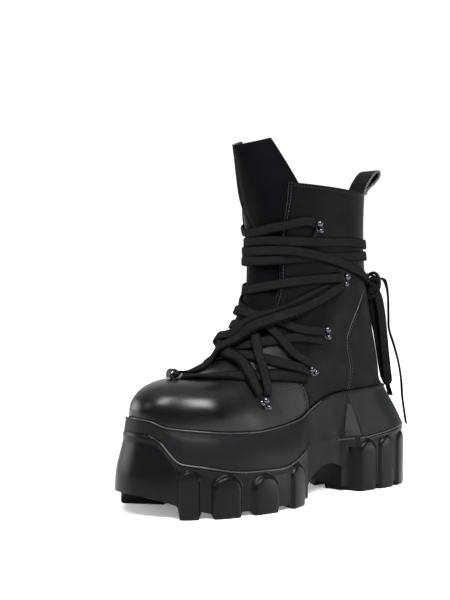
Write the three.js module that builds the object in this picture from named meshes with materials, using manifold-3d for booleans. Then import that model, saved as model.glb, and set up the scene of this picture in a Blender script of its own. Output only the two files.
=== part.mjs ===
// Left platform boot with wrapped laces, as a group of named solids in millimetres.
// +X is the outer side of the foot, -Y the toe, +Z up; the origin is on the floor, under the middle.
import * as THREE from "three";
import { mergeVertices } from "three/addons/utils/BufferGeometryUtils.js";
import Module from "manifold-3d";

const wasm = await Module();
wasm.setup();

// ---------------------------------------------------------------- driving dimensions
const SOLE_LENGTH = 300;
const SOLE_HALF = SOLE_LENGTH / 2;
const GAP = 0.3; // between pieces that touch
const SEAT = 0.4; // between the upper's lasted edge and the midsole
const WALL = 2.4; // leather and lining of the upper
const TONGUE_WALL = 3;
const INSOLE_THICKNESS = 4;
const UPPER_TOE = -137; // toe tip of the upper at its lower edge
const UPPER_HEEL = 125; // heel of the upper at its lower edge
const LIP = 2; // the midsole's rim shows this much round the upper
const JOINT_FRONT = 3; // rear end of the forefoot outsole
const JOINT_REAR = 62; // front end of the heel outsole
const TREAD_Z = 8; // sole between the lugs, above the floor
const LACE_WIDTH = 8;
const LACE_THICKNESS = 1.8;

// ---------------------------------------------------------------- curves
// A smooth curve through the rows of a table, without overshoot between them.
function curveThrough(rows, from, to) {
  const x = rows.map((row) => row[from]);
  const y = rows.map((row) => row[to]);
  const slope = x.slice(1).map((value, i) => (y[i + 1] - y[i]) / (value - x[i]));
  const tangent = x.map((_, i) => {
    const before = slope[Math.max(i - 1, 0)];
    const after = slope[Math.min(i, slope.length - 1)];
    return before * after <= 0 ? 0 : (2 * before * after) / (before + after);
  });
  return (at) => {
    if (at <= x[0]) return y[0];
    if (at >= x[x.length - 1]) return y[y.length - 1];
    const i = x.findIndex((value) => value > at) - 1;
    const width = x[i + 1] - x[i];
    const s = (at - x[i]) / width;
    const rise = s * s * (3 - 2 * s);
    const bend = (s - 1) * s * width;
    return y[i] + (y[i + 1] - y[i]) * rise + bend * ((s - 1) * tangent[i] + s * tangent[i + 1]);
  };
}

// Rounds off an outline towards its tip: 0 at the tip, 1 from `length` onwards.
function roundEnd(distance, length, fullness) {
  const rest = 1 - Math.min(Math.max(distance / length, 0), 1);
  return (1 - rest ** fullness) ** (1 / fullness);
}

const mix = THREE.MathUtils.lerp;

// ---------------------------------------------------------------- solids
function toSolid(geometry) {
  const plain = geometry.index ? geometry.clone() : geometry;
  plain.deleteAttribute("normal");
  plain.deleteAttribute("uv");
  const merged = mergeVertices(plain, 1e-4);
  const corners = Array.from(merged.index.array);
  const kept = [];
  for (let i = 0; i < corners.length; i += 3) {
    const [a, b, c] = corners.slice(i, i + 3);
    if (a !== b && b !== c && c !== a) kept.push(a, b, c);
  }
  const mesh = new wasm.Mesh({
    numProp: 3,
    vertProperties: Float32Array.from(merged.attributes.position.array),
    triVerts: Uint32Array.from(kept),
  });
  return new wasm.Manifold(mesh);
}

function toGeometry(solid) {
  const mesh = solid.getMesh();
  const geometry = new THREE.BufferGeometry();
  geometry.setAttribute("position", new THREE.BufferAttribute(mesh.vertProperties, 3));
  geometry.setIndex(new THREE.BufferAttribute(mesh.triVerts, 1));
  geometry.computeVertexNormals();
  return geometry;
}

// A solid from points and triangles, turned so that its faces point out.
function solidFrom(points, triangles) {
  let volume = 0;
  const normal = new THREE.Vector3();
  for (const [a, b, c] of triangles) {
    volume += points[a].dot(normal.crossVectors(points[b], points[c]));
  }
  const order = volume > 0 ? [0, 1, 2] : [0, 2, 1];
  const geometry = new THREE.BufferGeometry();
  const positions = points.flatMap((point) => [point.x, point.y, point.z]);
  geometry.setAttribute("position", new THREE.Float32BufferAttribute(positions, 3));
  geometry.setIndex(triangles.flatMap((triangle) => order.map((corner) => triangle[corner])));
  return toSolid(geometry);
}

function union(solids) {
  return solids.reduce((all, solid) => all.add(solid));
}

// A side-view outline of [y, z] corners, pushed through from x = low to x = high.
function sidePrism(outline, low, high) {
  const shape = new THREE.Shape(outline.map(([y, z]) => new THREE.Vector2(y, z)));
  const geometry = new THREE.ExtrudeGeometry(shape, { depth: high - low, bevelEnabled: false });
  const sideways = new THREE.Matrix4().makeBasis(
    new THREE.Vector3(0, 1, 0),
    new THREE.Vector3(0, 0, 1),
    new THREE.Vector3(1, 0, 0),
  );
  geometry.applyMatrix4(sideways);
  geometry.translate(low, 0, 0);
  return toSolid(geometry);
}

function block(low, high) {
  const size = high.map((value, i) => value - low[i]);
  const geometry = new THREE.BoxGeometry(...size);
  geometry.translate(...low.map((value, i) => value + size[i] / 2));
  return toSolid(geometry);
}

// ---------------------------------------------------------------- plan of the foot
// Half widths along the foot: `share` runs from toe tip to heel tip. The feather is the line where
// the upper meets the sole, the base is the widest line of the sole near the floor.
const PLAN = [
  { share: 0.0, featherOuter: 40, featherInner: 34, baseOuter: 47, baseInner: 42, centre: -3 },
  { share: 0.1, featherOuter: 45, featherInner: 42, baseOuter: 53, baseInner: 51, centre: -3 },
  { share: 0.2, featherOuter: 49, featherInner: 48, baseOuter: 59, baseInner: 58, centre: -2 },
  { share: 0.3, featherOuter: 50, featherInner: 49, baseOuter: 62, baseInner: 60.5, centre: -1 },
  { share: 0.4, featherOuter: 46, featherInner: 45, baseOuter: 61, baseInner: 57, centre: 0 },
  { share: 0.5, featherOuter: 40, featherInner: 38, baseOuter: 51, baseInner: 47, centre: 0 },
  { share: 0.6, featherOuter: 35, featherInner: 34, baseOuter: 42, baseInner: 40, centre: -1 },
  { share: 0.7, featherOuter: 33, featherInner: 33, baseOuter: 38, baseInner: 38, centre: -2 },
  { share: 0.8, featherOuter: 33, featherInner: 33, baseOuter: 39, baseInner: 39, centre: -2 },
  { share: 1.0, featherOuter: 32, featherInner: 32, baseOuter: 38, baseInner: 38, centre: -2 },
];
const planOf = (column) => curveThrough(PLAN, "share", column);
const FEATHER_WIDTH = { 1: planOf("featherOuter"), [-1]: planOf("featherInner") };
const BASE_WIDTH = { 1: planOf("baseOuter"), [-1]: planOf("baseInner") };
const centreLine = planOf("centre");
const TOE_ROUND = 0.25; // share of the length taken by the rounded toe
const HEEL_ROUND = 0.15;
const END_FULLNESS = 2.3;

// Height of the feather line and of the ridge on the sole's side, along the foot.
const FEATHER_HEIGHT = [
  { y: -142, z: 79 },
  { y: -135, z: 77.5 },
  { y: -126, z: 72.5 },
  { y: -110, z: 70 },
  { y: -75, z: 66.5 },
  { y: -50, z: 65.5 },
  { y: -30, z: 66.5 },
  { y: 5, z: 71 },
  { y: 22, z: 79.5 },
  { y: 45, z: 88.5 },
  { y: 60, z: 90.5 },
  { y: 93, z: 92.5 },
  { y: 130, z: 93.5 },
];
const RIDGE_HEIGHT = [
  { y: -150, z: 69 },
  { y: -138, z: 67 },
  { y: -127, z: 48 },
  { y: -107, z: 42.5 },
  { y: -67, z: 36 },
  { y: -35, z: 35.5 },
  { y: -8, z: 41 },
  { y: JOINT_FRONT, z: 46 },
];
// Top of the heel block, which rises towards the back.
const LEDGE_HEIGHT = [
  { y: 50, z: 47.5 },
  { y: 80, z: 48.5 },
  { y: 105, z: 51.5 },
  { y: 130, z: 55 },
  { y: 150, z: 56 },
];
const featherZ = curveThrough(FEATHER_HEIGHT, "y", "z");
const ridgeZ = curveThrough(RIDGE_HEIGHT, "y", "z");
const ledgeZ = curveThrough(LEDGE_HEIGHT, "y", "z");

// One ring round the sole. flare 0 is the feather line, flare 1 the base line; height is a
// function of the place along the foot. Points run from the toe round the outer side and back.
const STATIONS = [
  0, 0.004, 0.015, 0.033, 0.06, 0.1, 0.145, 0.195, 0.25, 0.31, 0.37, 0.43, 0.48, 0.51, 0.55, 0.6,
  0.65, 0.7, 0.728, 0.75, 0.81, 0.87, 0.915, 0.952, 0.98, 0.995, 1,
];

function soleRing(flareAt, heightAt, inset = 0) {
  const rim = LIP - inset;
  const sidePoint = (share, side) => {
    const flare = flareAt(share);
    const toe = mix(UPPER_TOE - rim, -SOLE_HALF - Math.min(rim - LIP, 0), flare);
    const heel = mix(UPPER_HEEL + rim, SOLE_HALF + Math.min(rim - LIP, 0), flare);
    const width = mix(FEATHER_WIDTH[side](share) + rim, BASE_WIDTH[side](share) - inset, flare);
    const round = roundEnd(share, TOE_ROUND, END_FULLNESS) * roundEnd(1 - share, HEEL_ROUND, END_FULLNESS);
    const y = mix(toe, heel, share);
    return new THREE.Vector3(centreLine(share) + side * width * round, y, heightAt(y, share));
  };
  const outer = STATIONS.map((share) => sidePoint(share, 1));
  const inner = STATIONS.slice(1, -1).reverse().map((share) => sidePoint(share, -1));
  return [...outer, ...inner];
}

// Rings stacked from top to bottom, closed by a flat strip from side to side at each station.
function stackRings(rings) {
  const count = rings[0].length;
  const half = STATIONS.length - 1;
  const triangles = [];
  const quad = (a, b, c, d) => triangles.push([a, b, c], [a, c, d]);
  for (let level = 0; level < rings.length - 1; level += 1) {
    for (let i = 0; i < count; i += 1) {
      const next = (i + 1) % count;
      const top = level * count;
      quad(top + i, top + next, top + count + next, top + count + i);
    }
  }
  const lastRing = (rings.length - 1) * count;
  for (let i = 0; i < half; i += 1) {
    const across = (count - i) % count;
    const acrossNext = count - i - 1;
    quad(across, acrossNext, i + 1, i);
    quad(lastRing + i, lastRing + i + 1, lastRing + acrossNext, lastRing + across);
  }
  return solidFrom(rings.flat(), triangles);
}

// ---------------------------------------------------------------- sole
// The wall of the midsole from its rim down to the ridge: a full shoulder beside the forefoot,
// a straight slope that runs out far behind the heel.
const MIDSOLE_WALL = [
  { drop: 0, toe: 0, forefoot: 0, waist: 0, heel: 0 },
  { drop: 0.05, toe: 0.01, forefoot: 0.08, waist: 0.02, heel: 0.03 },
  { drop: 0.22, toe: 0.04, forefoot: 0.5, waist: 0.06, heel: 0.2 },
  { drop: 0.5, toe: 0.08, forefoot: 0.78, waist: 0.12, heel: 0.52 },
  { drop: 1, toe: 0.16, forefoot: 0.92, waist: 0.3, heel: 1 },
];
const TOE_END = 0.03; // the toe's straight slope turns into the forefoot's shoulder from here
const FOREFOOT_START = 0.1;
const WAIST_START = 0.48;
const WAIST_FULL = 0.6;
const HEEL_CORNER = 0.728; // the heel's flare starts here with a sharp corner
const HEEL_FULL = 0.75;

function wallFlare(row) {
  return (share) => {
    const waist = THREE.MathUtils.smoothstep(share, WAIST_START, WAIST_FULL);
    const heel = THREE.MathUtils.clamp((share - HEEL_CORNER) / (HEEL_FULL - HEEL_CORNER), 0, 1);
    const forefoot = THREE.MathUtils.smoothstep(share, TOE_END, FOREFOOT_START);
    return mix(mix(mix(row.toe, row.forefoot, forefoot), row.waist, waist), row.heel, heel);
  };
}

const ARCH = { y: 42, z: -10, radius: 38 }; // round scoop under the waist
const ARCH_FLOOR = 12;

// Level of the joint between the midsole and the outsole pieces.
function ridgeLevel(y) {
  return (y < JOINT_FRONT ? ridgeZ(y) : ledgeZ(y)) + GAP;
}

function archScoop() {
  const geometry = new THREE.CylinderGeometry(ARCH.radius, ARCH.radius, 200, 40);
  geometry.rotateZ(Math.PI / 2);
  geometry.translate(0, ARCH.y, ARCH.z);
  return toSolid(geometry);
}

function buildMidsole() {
  const rings = MIDSOLE_WALL.map((row) =>
    soleRing(wallFlare(row), (y) => mix(featherZ(y), ridgeLevel(y), row.drop)));
  const body = stackRings(rings);
  const waistRing = (height) => soleRing(() => 0.3, () => height);
  const waist = stackRings([waistRing(ledgeZ(0) + 6), waistRing(ARCH_FLOOR)])
    .intersect(block([-80, JOINT_FRONT + GAP, 0], [80, JOINT_REAR - GAP, 80]));
  return body.add(waist).subtract(archScoop());
}

// Side lugs: rounded pads that stand proud of the wall and run in under the sole.
const FOREFOOT_LUGS = [
  { share: 0.12, width: 20, top: 40.5, bottom: 4, depth: 30 },
  { share: 0.215, width: 25, top: 35.5, bottom: 0, depth: 40 },
  { share: 0.34, width: 30, top: 31, bottom: 0, depth: 40 },
  { share: 0.46, width: 21, top: 36, bottom: 0, depth: 30 },
];
const HEEL_LUGS = [
  { share: 0.79, width: 17, top: 44, bottom: 0, depth: 16 },
  { share: 0.865, width: 17, top: 46, bottom: 0, depth: 16 },
  { share: 0.945, width: 16, top: 48, bottom: 0, depth: 14 },
];
const LUG_PROUD = 2.2;
const LUG_ROUND = 3;

// The outline of the base line and its outward direction at a share of the length.
function baseEdge(share, side, flare) {
  const point = (at) => {
    const width = mix(FEATHER_WIDTH[side](at) + LIP, BASE_WIDTH[side](at), flare);
    const round = roundEnd(at, TOE_ROUND, END_FULLNESS) * roundEnd(1 - at, HEEL_ROUND, END_FULLNESS);
    return new THREE.Vector2(centreLine(at) + side * width * round, mix(-SOLE_HALF, SOLE_HALF, at));
  };
  const along = point(share + 0.004).sub(point(share - 0.004)).normalize();
  return { at: point(share), out: new THREE.Vector2(along.y * side, -along.x * side) };
}

function lug({ share, width, top, bottom, depth }, side, flare) {
  const { at, out } = baseEdge(share, side, flare);
  const half = width / 2 - LUG_ROUND;
  const height = top - bottom - 2 * LUG_ROUND;
  const shape = new THREE.Shape();
  shape.moveTo(-half, 0);
  shape.lineTo(half, 0);
  shape.lineTo(half, height - half);
  shape.absarc(0, height - half, half, 0, Math.PI, false);
  const geometry = new THREE.ExtrudeGeometry(shape, {
    depth: depth - LUG_ROUND,
    curveSegments: 4,
    bevelSize: LUG_ROUND,
    bevelThickness: LUG_ROUND,
    bevelSegments: 1,
  });
  geometry.translate(0, LUG_ROUND, -depth + LUG_ROUND);
  const outward = new THREE.Vector3(out.x, out.y, 0);
  const up = new THREE.Vector3(0, 0, 1);
  const frame = new THREE.Matrix4().makeBasis(up.clone().cross(outward), up, outward);
  geometry.applyMatrix4(frame);
  const proud = LUG_PROUD - LUG_ROUND;
  geometry.translate(at.x + outward.x * proud, at.y + outward.y * proud, bottom);
  return toSolid(geometry);
}

const TOE_SPRING = [
  { y: -150, z: 19 },
  { y: -140, z: 17.5 },
  { y: -125, z: 13 },
  { y: -105, z: 9 },
  { y: -90, z: TREAD_Z },
  { y: 10, z: TREAD_Z },
];
const treadZ = curveThrough(TOE_SPRING, "y", "z");
const OUTSOLE_WALL = [
  { drop: 0, toe: 0.17, forefoot: 0.93, inset: 0 },
  { drop: 0.2, toe: 0.36, forefoot: 0.96, inset: 0 },
  { drop: 0.75, toe: 0.93, forefoot: 1, inset: 0 },
  { drop: 1, toe: 1, forefoot: 1, inset: 3 },
];
function bumperFlare(row) {
  return (share) => mix(row.toe, row.forefoot, THREE.MathUtils.smoothstep(share, TOE_END, FOREFOOT_START));
}
const FRONT_BAR = { width: 56, front: -112, rear: -96 };

function buildForefootOutsole() {
  const rings = OUTSOLE_WALL.map((row) =>
    soleRing(bumperFlare(row), (y) => mix(ridgeZ(y), treadZ(y), row.drop), row.inset));
  const bar = block([-FRONT_BAR.width / 2, FRONT_BAR.front, 0], [FRONT_BAR.width / 2, FRONT_BAR.rear, 20]);
  const body = stackRings(rings)
    .intersect(block([-90, -SOLE_HALF - 5, 0], [90, JOINT_FRONT, 90]));
  const lugs = FOREFOOT_LUGS.flatMap((row) => [1, -1].map((side) => lug(row, side, 0.97)));
  const behind = block([-90, JOINT_FRONT, -1], [90, 60, 90]);
  return union([body, bar, ...lugs]).subtract(behind);
}

const HEEL_FLOOR = 5; // heel block between its lugs, above the floor
const HEEL_FRONT = 75; // the block's full width starts here, with a step on each side
const HEEL_STEP = 8;

function heelWall(inset) {
  return stackRings([
    soleRing(() => 1, ledgeZ, inset),
    soleRing(() => 1, (y) => ledgeZ(y) - 3, inset + 1),
    soleRing(() => 1, () => HEEL_FLOOR + 6, inset + 1.5),
    soleRing(() => 1, () => HEEL_FLOOR, inset + 4),
  ]);
}

function buildHeelOutsole() {
  const full = heelWall(0).intersect(block([-80, HEEL_FRONT, 0], [80, 160, 60]));
  const front = heelWall(HEEL_STEP).intersect(block([-80, JOINT_REAR, 0], [80, HEEL_FRONT + 1, 60]));
  const body = full.add(front);
  const pad = stackRings([soleRing(() => 1, () => 20, 12), soleRing(() => 1, () => 0, 14)])
    .intersect(block([-80, JOINT_REAR, 0], [80, 108, 60]));
  const lugs = HEEL_LUGS.flatMap((row) => [1, -1].map((side) => lug(row, side, 0.94)));
  return union([body, pad, ...lugs]).subtract(archScoop());
}

// Everything below the seat of the upper, a little above the midsole's own top.
function belowSeat() {
  return stackRings([soleRing(() => 0, (y) => featherZ(y) + SEAT), soleRing(() => 0, () => 30)]);
}

function buildInsole() {
  const clear = WALL + 3.2;
  const ring = (height, inset) => soleRing(() => 0, (y) => featherZ(y) + height, LIP + inset);
  return stackRings([ring(SEAT + INSOLE_THICKNESS, clear + 0.6), ring(-3, clear)]).subtract(belowSeat());
}

// ---------------------------------------------------------------- form of the foot and shaft
// Middle line over the toe, up the instep and the front of the tongue.
const FRONT_PROFILE = [
  { y: UPPER_TOE, z: 79.4 },
  { y: -136.5, z: 87 },
  { y: -132, z: 95.5 },
  { y: -123, z: 102.5 },
  { y: -109, z: 107 },
  { y: -90, z: 109.5 },
  { y: -72, z: 112.5 },
  { y: -56, z: 118.5 },
  { y: -43, z: 131 },
  { y: -32, z: 152 },
  { y: -23, z: 180 },
  { y: -18, z: 208 },
  { y: -17.5, z: 232 },
  { y: -27.5, z: 264 },
  { y: -38, z: 304 },
  { y: -41, z: 317 },
];
const BACK_PROFILE = [
  { y: UPPER_HEEL, z: 93.4 },
  { y: 121.5, z: 112 },
  { y: 115, z: 138 },
  { y: 109, z: 163 },
  { y: 105.5, z: 188 },
  { y: 104, z: 212 },
  { y: 104.5, z: 235 },
  { y: 108.5, z: 266 },
  { y: 113, z: 290 },
  { y: 117, z: 314 },
];
const profileCurve = (rows) =>
  new THREE.CatmullRomCurve3(rows.map((row) => new THREE.Vector3(0, row.y, row.z)), false, "centripetal");
const frontCurve = profileCurve(FRONT_PROFILE);
const backCurve = profileCurve(BACK_PROFILE);

// Turn 0 to 1 goes round the foot's feather line, 1 to 2 climbs the back of the shaft.
const GIRTH = [
  { turn: 0, front: 0, outer: 0, inner: 0, fullness: 2.3 },
  { turn: 0.3, front: 0.215, outer: 0, inner: 0, fullness: 2.35 },
  { turn: 0.5, front: 0.36, outer: 41, inner: 40, fullness: 2.2 },
  { turn: 0.62, front: 0.45, outer: 40, inner: 39, fullness: 2.1 },
  { turn: 0.75, front: 0.54, outer: 38, inner: 37, fullness: 2.1 },
  { turn: 0.9, front: 0.63, outer: 37, inner: 36, fullness: 2.15 },
  { turn: 1, front: 0.68, outer: 37, inner: 36, fullness: 2.2 },
  { turn: 1.3, front: 0.76, outer: 38, inner: 37, fullness: 2.2 },
  { turn: 1.6, front: 0.84, outer: 40, inner: 39, fullness: 2.05 },
  { turn: 1.8, front: 0.92, outer: 40, inner: 39, fullness: 1.8 },
  { turn: 2, front: 1, outer: 40, inner: 39, fullness: 1.6 },
];
const girth = (column) => curveThrough(GIRTH, "turn", column);
const FRONT_SHARE = girth("front");
const HALF_GIRTH = { 1: girth("outer"), [-1]: girth("inner") };
const FULLNESS = girth("fullness");
const SIDE_SWELL = 1.012; // the vamp's sides swell a little past the feather line

// A row of the form: a section from the front line to the feather line or the back line.
function formRow(turn, side) {
  const onFoot = turn < 1;
  const share = onFoot ? (1 - Math.cos(Math.PI * turn)) / 2 : 1;
  const front = frontCurve.getPointAt(THREE.MathUtils.clamp(FRONT_SHARE(turn), 0, 1));
  const back = backCurve.getPointAt(THREE.MathUtils.clamp(turn - 1, 0, 1));
  const y = onFoot ? mix(UPPER_TOE, UPPER_HEEL, share) : back.y;
  const z = onFoot ? featherZ(y) + SEAT : back.z;
  const round = roundEnd(share, TOE_ROUND, END_FULLNESS) * roundEnd(1 - share, HEEL_ROUND, END_FULLNESS);
  const endWidth = onFoot ? FEATHER_WIDTH[side](share) * round : 0;
  const width = Math.max(HALF_GIRTH[side](turn), endWidth * SIDE_SWELL);
  const power = FULLNESS(turn);
  const endRatio = width > 0 ? endWidth / width : 0;
  const endAngle = Math.PI - Math.asin(endRatio ** (power / 2));
  return { front, y, z, width, power, endAngle, endCentre: onFoot ? centreLine(share) : centreLine(1) };
}

function signedPower(value, power) {
  return Math.sign(value) * Math.abs(value) ** power;
}

const THROAT_CENTRE = -2; // the tongue's middle line
function formPoint(turn, side, across) {
  const row = formRow(turn, side);
  const angle = row.endAngle * across;
  const endReach = 1 - signedPower(Math.cos(row.endAngle), 2 / row.power);
  const along = (1 - signedPower(Math.cos(angle), 2 / row.power)) / endReach;
  const out = row.width * Math.max(Math.sin(angle), 0) ** (2 / row.power);
  const frontCentre = turn < 0.5 ? mix(centreLine(0), THROAT_CENTRE, Math.min(turn / 0.4, 1)) : THROAT_CENTRE;
  return new THREE.Vector3(
    mix(frontCentre, row.endCentre, along) + side * out,
    mix(row.front.y, row.y, along),
    mix(row.front.z, row.z, along),
  );
}

const FOOT_ROWS = 19;
const SHAFT_ROWS = 8;
const FORM_ROWS = FOOT_ROWS + SHAFT_ROWS;
const FORM_COLUMNS = 8;
const rowTurn = (i) => (i < FOOT_ROWS ? i / FOOT_ROWS : 1 + (i - FOOT_ROWS) / SHAFT_ROWS);

// The closed form, moved inwards by `inset`; its foot and top run on by `overrun` so that it
// can hollow out the upper.
function formSolid(inset, overrun = 0) {
  const points = [];
  const index = (side, i, j) => ((side === 1 ? 0 : 1) * (FORM_ROWS + 1) + i) * (FORM_COLUMNS + 1) + j;
  for (const side of [1, -1]) {
    for (let i = 0; i <= FORM_ROWS; i += 1) {
      for (let j = 0; j <= FORM_COLUMNS; j += 1) {
        points.push(formPoint(rowTurn(i), side, j / FORM_COLUMNS));
      }
    }
  }
  const walls = [];
  for (const side of [1, -1]) {
    for (let i = 0; i < FORM_ROWS; i += 1) {
      for (let j = 0; j < FORM_COLUMNS; j += 1) {
        const corners = [index(side, i, j), index(side, i, j + 1), index(side, i + 1, j + 1), index(side, i + 1, j)];
        const [a, b, c, d] = side === 1 ? corners : corners.reverse();
        walls.push([a, b, c], [a, c, d]);
      }
    }
  }
  const moved = insetPoints(points, walls, inset);
  for (const side of [1, -1]) {
    for (let i = 0; i <= FOOT_ROWS; i += 1) moved[index(side, i, FORM_COLUMNS)].z -= overrun;
    for (let j = 0; j <= FORM_COLUMNS; j += 1) moved[index(side, FORM_ROWS, j)].z += overrun;
  }
  for (let j = 0; j < FORM_COLUMNS; j += 1) for (const side of [1, -1]) moved[index(side, 0, j)].z -= overrun;
  const caps = [];
  for (let i = 0; i < FOOT_ROWS; i += 1) {
    const [a, b] = [index(1, i, FORM_COLUMNS), index(1, i + 1, FORM_COLUMNS)];
    const [c, d] = [index(-1, i + 1, FORM_COLUMNS), index(-1, i, FORM_COLUMNS)];
    caps.push([a, c, b], [a, d, c]);
  }
  for (let j = 0; j < FORM_COLUMNS; j += 1) {
    const [a, b] = [index(1, FORM_ROWS, j), index(1, FORM_ROWS, j + 1)];
    const [c, d] = [index(-1, FORM_ROWS, j + 1), index(-1, FORM_ROWS, j)];
    caps.push([a, b, c], [a, c, d]);
  }
  return solidFrom(moved, [...walls, ...caps]);
}

// Moves each point inwards along the average direction of the wall faces that meet there.
function insetPoints(points, walls, inset) {
  const key = (point) => [point.x, point.y, point.z].map((value) => Math.round(value * 1e3)).join(" ");
  const normals = new Map(points.map((point) => [key(point), new THREE.Vector3()]));
  for (const [a, b, c] of walls) {
    const edge = points[b].clone().sub(points[a]);
    const face = edge.cross(points[c].clone().sub(points[a]));
    for (const corner of [a, b, c]) normals.get(key(points[corner])).add(face);
  }
  return points.map((point) => {
    const outward = normals.get(key(point)).clone().normalize();
    return point.clone().addScaledVector(outward, inset);
  });
}

// ---------------------------------------------------------------- upper and tongue
// Side-view outlines as [y, z] corners, toe side first.
const THROAT_CORNER = [-1.4, 273.5];
const UPPER_SIDE = [
  [-170, 40], [-170, 150], [-52, 150], [-49, 122], [-42, 124], [-33, 130], [-24, 140], [-16, 153],
  [-9, 169], [-4, 187], [-3.5, 208], [-4.5, 232], THROAT_CORNER, [108, 265.5], [150, 264], [150, 40],
];
const TONGUE_SIDE = [
  [-15, 311.5], [8, 273], [15, 245], [14, 215], [10, 190], [3, 165], [-8, 145], [-24, 128], [-45, 112],
  [-66, 102], [-66, 135], [-55, 300], [-38.5, 305],
];
const TONGUE_DEPTH = WALL + SEAT; // the tongue lies this far inside the quarters' face
const FORM_RUN = 8;

function buildUpper() {
  return formSolid(0, FORM_RUN)
    .subtract(formSolid(-WALL, 2 * FORM_RUN))
    .subtract(belowSeat())
    .intersect(sidePrism(UPPER_SIDE, -90, 90))
    .subtract(sidePrism(zipBand(ZIP_SLOT), -90, THROAT_CENTRE));
}

function buildTongue() {
  return formSolid(-TONGUE_DEPTH, FORM_RUN)
    .subtract(formSolid(-TONGUE_DEPTH - TONGUE_WALL, 2 * FORM_RUN))
    .intersect(sidePrism(TONGUE_SIDE, -90, 90));
}

// ---------------------------------------------------------------- zip on the inner side
const ZIP_LINE = [
  { y: 53, z: 275 },
  { y: 55, z: 245 },
  { y: 55.5, z: 215 },
  { y: 54.5, z: 195 },
  { y: 51, z: 175 },
  { y: 44, z: 152 },
  { y: 35, z: 128 },
  { y: 27, z: 108 },
];
const ZIP_SLOT = 6.6; // width of the slot in the leather
const ZIP_WIDTH = 5.8;

// The side-view outline of a band of the given width along the zip, shortened by `trim` at its foot.
function zipBand(width, trim = 0) {
  const middle = ZIP_LINE.map((row) => new THREE.Vector2(row.y, row.z));
  const last = middle.length - 1;
  const foot = middle[last].clone().sub(middle[last - 1]).normalize();
  middle[last].addScaledVector(foot, -trim);
  const edge = (sign) => middle.map((point, i) => {
    const before = middle[Math.max(i - 1, 0)];
    const after = middle[Math.min(i + 1, last)];
    const along = after.clone().sub(before).normalize();
    return [point.x + (sign * along.y * width) / 2, point.y - (sign * along.x * width) / 2];
  });
  return [...edge(1), ...edge(-1).reverse()];
}

function buildZipChain() {
  return formSolid(-0.2, 0)
    .subtract(formSolid(-WALL + 0.2, FORM_RUN))
    .intersect(sidePrism(zipBand(ZIP_WIDTH, 1), -90, THROAT_CENTRE))
    .intersect(block([-90, 0, 60], [0, 150, 262]));
}

// ---------------------------------------------------------------- places on the form
// The row of the form that passes through a side-view place.
function turnThrough(y, z) {
  let low = 0;
  let high = 2;
  for (let step = 0; step < 24; step += 1) {
    const turn = (low + high) / 2;
    const row = formRow(turn, 1);
    const above = (row.y - row.front.y) * (z - row.front.z) - (row.z - row.front.z) * (y - row.front.y);
    if (above > 0) low = turn;
    else high = turn;
  }
  return (low + high) / 2;
}

// The form's face at a side-view place, or null beyond its front and back lines.
function faceAt(side, y, z) {
  const turn = turnThrough(y, z);
  const row = formRow(turn, side);
  const reach = new THREE.Vector2(row.y - row.front.y, row.z - row.front.z);
  const along = new THREE.Vector2(y - row.front.y, z - row.front.z).dot(reach) / reach.lengthSq();
  if (along <= 0 || along >= 1) return null;
  const endReach = 1 - signedPower(Math.cos(row.endAngle), 2 / row.power);
  const cosine = signedPower(1 - along * endReach, row.power / 2);
  const out = row.width * Math.max(1 - cosine * cosine, 0) ** (1 / row.power);
  const frontCentre = mix(centreLine(0), THROAT_CENTRE, Math.min(turn / 0.4, 1));
  return new THREE.Vector3(mix(frontCentre, row.endCentre, along) + side * out, y, z);
}

function outwardFrom(at, alongOne, alongOther, hint) {
  const normal = alongOne.clone().sub(at).cross(alongOther.clone().sub(at)).normalize();
  return normal.dot(hint) < 0 ? normal.negate() : normal;
}

// A place on the side of the boot with its outward direction.
function sideSpot(side, y, z) {
  const at = faceAt(side, y, z);
  const out = outwardFrom(at, faceAt(side, y + 2, z), faceAt(side, y, z + 2), new THREE.Vector3(side, 0, 0));
  return { at, out };
}

// The middle line that the laces wrap round leans forward into the foot.
const WRAP_LOW = { y: -15, z: 90 };
const WRAP_HIGH = { y: 45, z: 170 };
function wrapMiddle(z) {
  return mix(WRAP_LOW.y, WRAP_HIGH.y, THREE.MathUtils.clamp((z - WRAP_LOW.z) / (WRAP_HIGH.z - WRAP_LOW.z), 0, 1));
}

// The place at an angle round that line: 0 is the outer side, -90 the front, 90 the back.
function wrapSpot(degrees, z) {
  const angle = THREE.MathUtils.degToRad(degrees);
  const side = Math.cos(angle) >= 0 ? 1 : -1;
  let low = 0;
  let high = 140;
  for (let step = 0; step < 18; step += 1) {
    const radius = (low + high) / 2;
    const x = THROAT_CENTRE + radius * Math.cos(angle);
    const face = faceAt(side, wrapMiddle(z) + radius * Math.sin(angle), z);
    if (face && (x - THROAT_CENTRE) * side < (face.x - THROAT_CENTRE) * side) low = radius;
    else high = radius;
  }
  return new THREE.Vector3(THROAT_CENTRE + low * Math.cos(angle), wrapMiddle(z) + low * Math.sin(angle), z);
}

function wrapAngle(at) {
  return THREE.MathUtils.radToDeg(Math.atan2(at.y - wrapMiddle(at.z), at.x - THROAT_CENTRE));
}

// ---------------------------------------------------------------- hardware
// Rings on each side, from the top down; the lace leaves each one at laceY, laceZ from its middle.
const LACE_RINGS = {
  lateral: [
    { y: 25, z: 237.5, laceY: -6, laceZ: -1 },
    { y: 57, z: 191.5, laceY: -6, laceZ: -1 },
    { y: 36, z: 145, laceY: -6, laceZ: 0 },
    { y: 15, z: 112.5, laceY: -6, laceZ: 1 },
    { y: -40, z: 88.5, laceY: 1, laceZ: 7 },
  ],
  medial: [
    { y: 19, z: 244, laceY: -6, laceZ: -1 },
    { y: 38, z: 197, laceY: -6, laceZ: -1 },
    { y: 22, z: 148, laceY: -6, laceZ: 0 },
    { y: 11, z: 117, laceY: -6, laceZ: 1 },
    { y: -40, z: 89.5, laceY: 1, laceZ: 7 },
  ],
};
const RING_RADIUS = 2.7;
const RING_WIRE = 0.95;
const STUD_RADIUS = 3.4;
const STUD_HEIGHT = 2.2;

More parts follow.
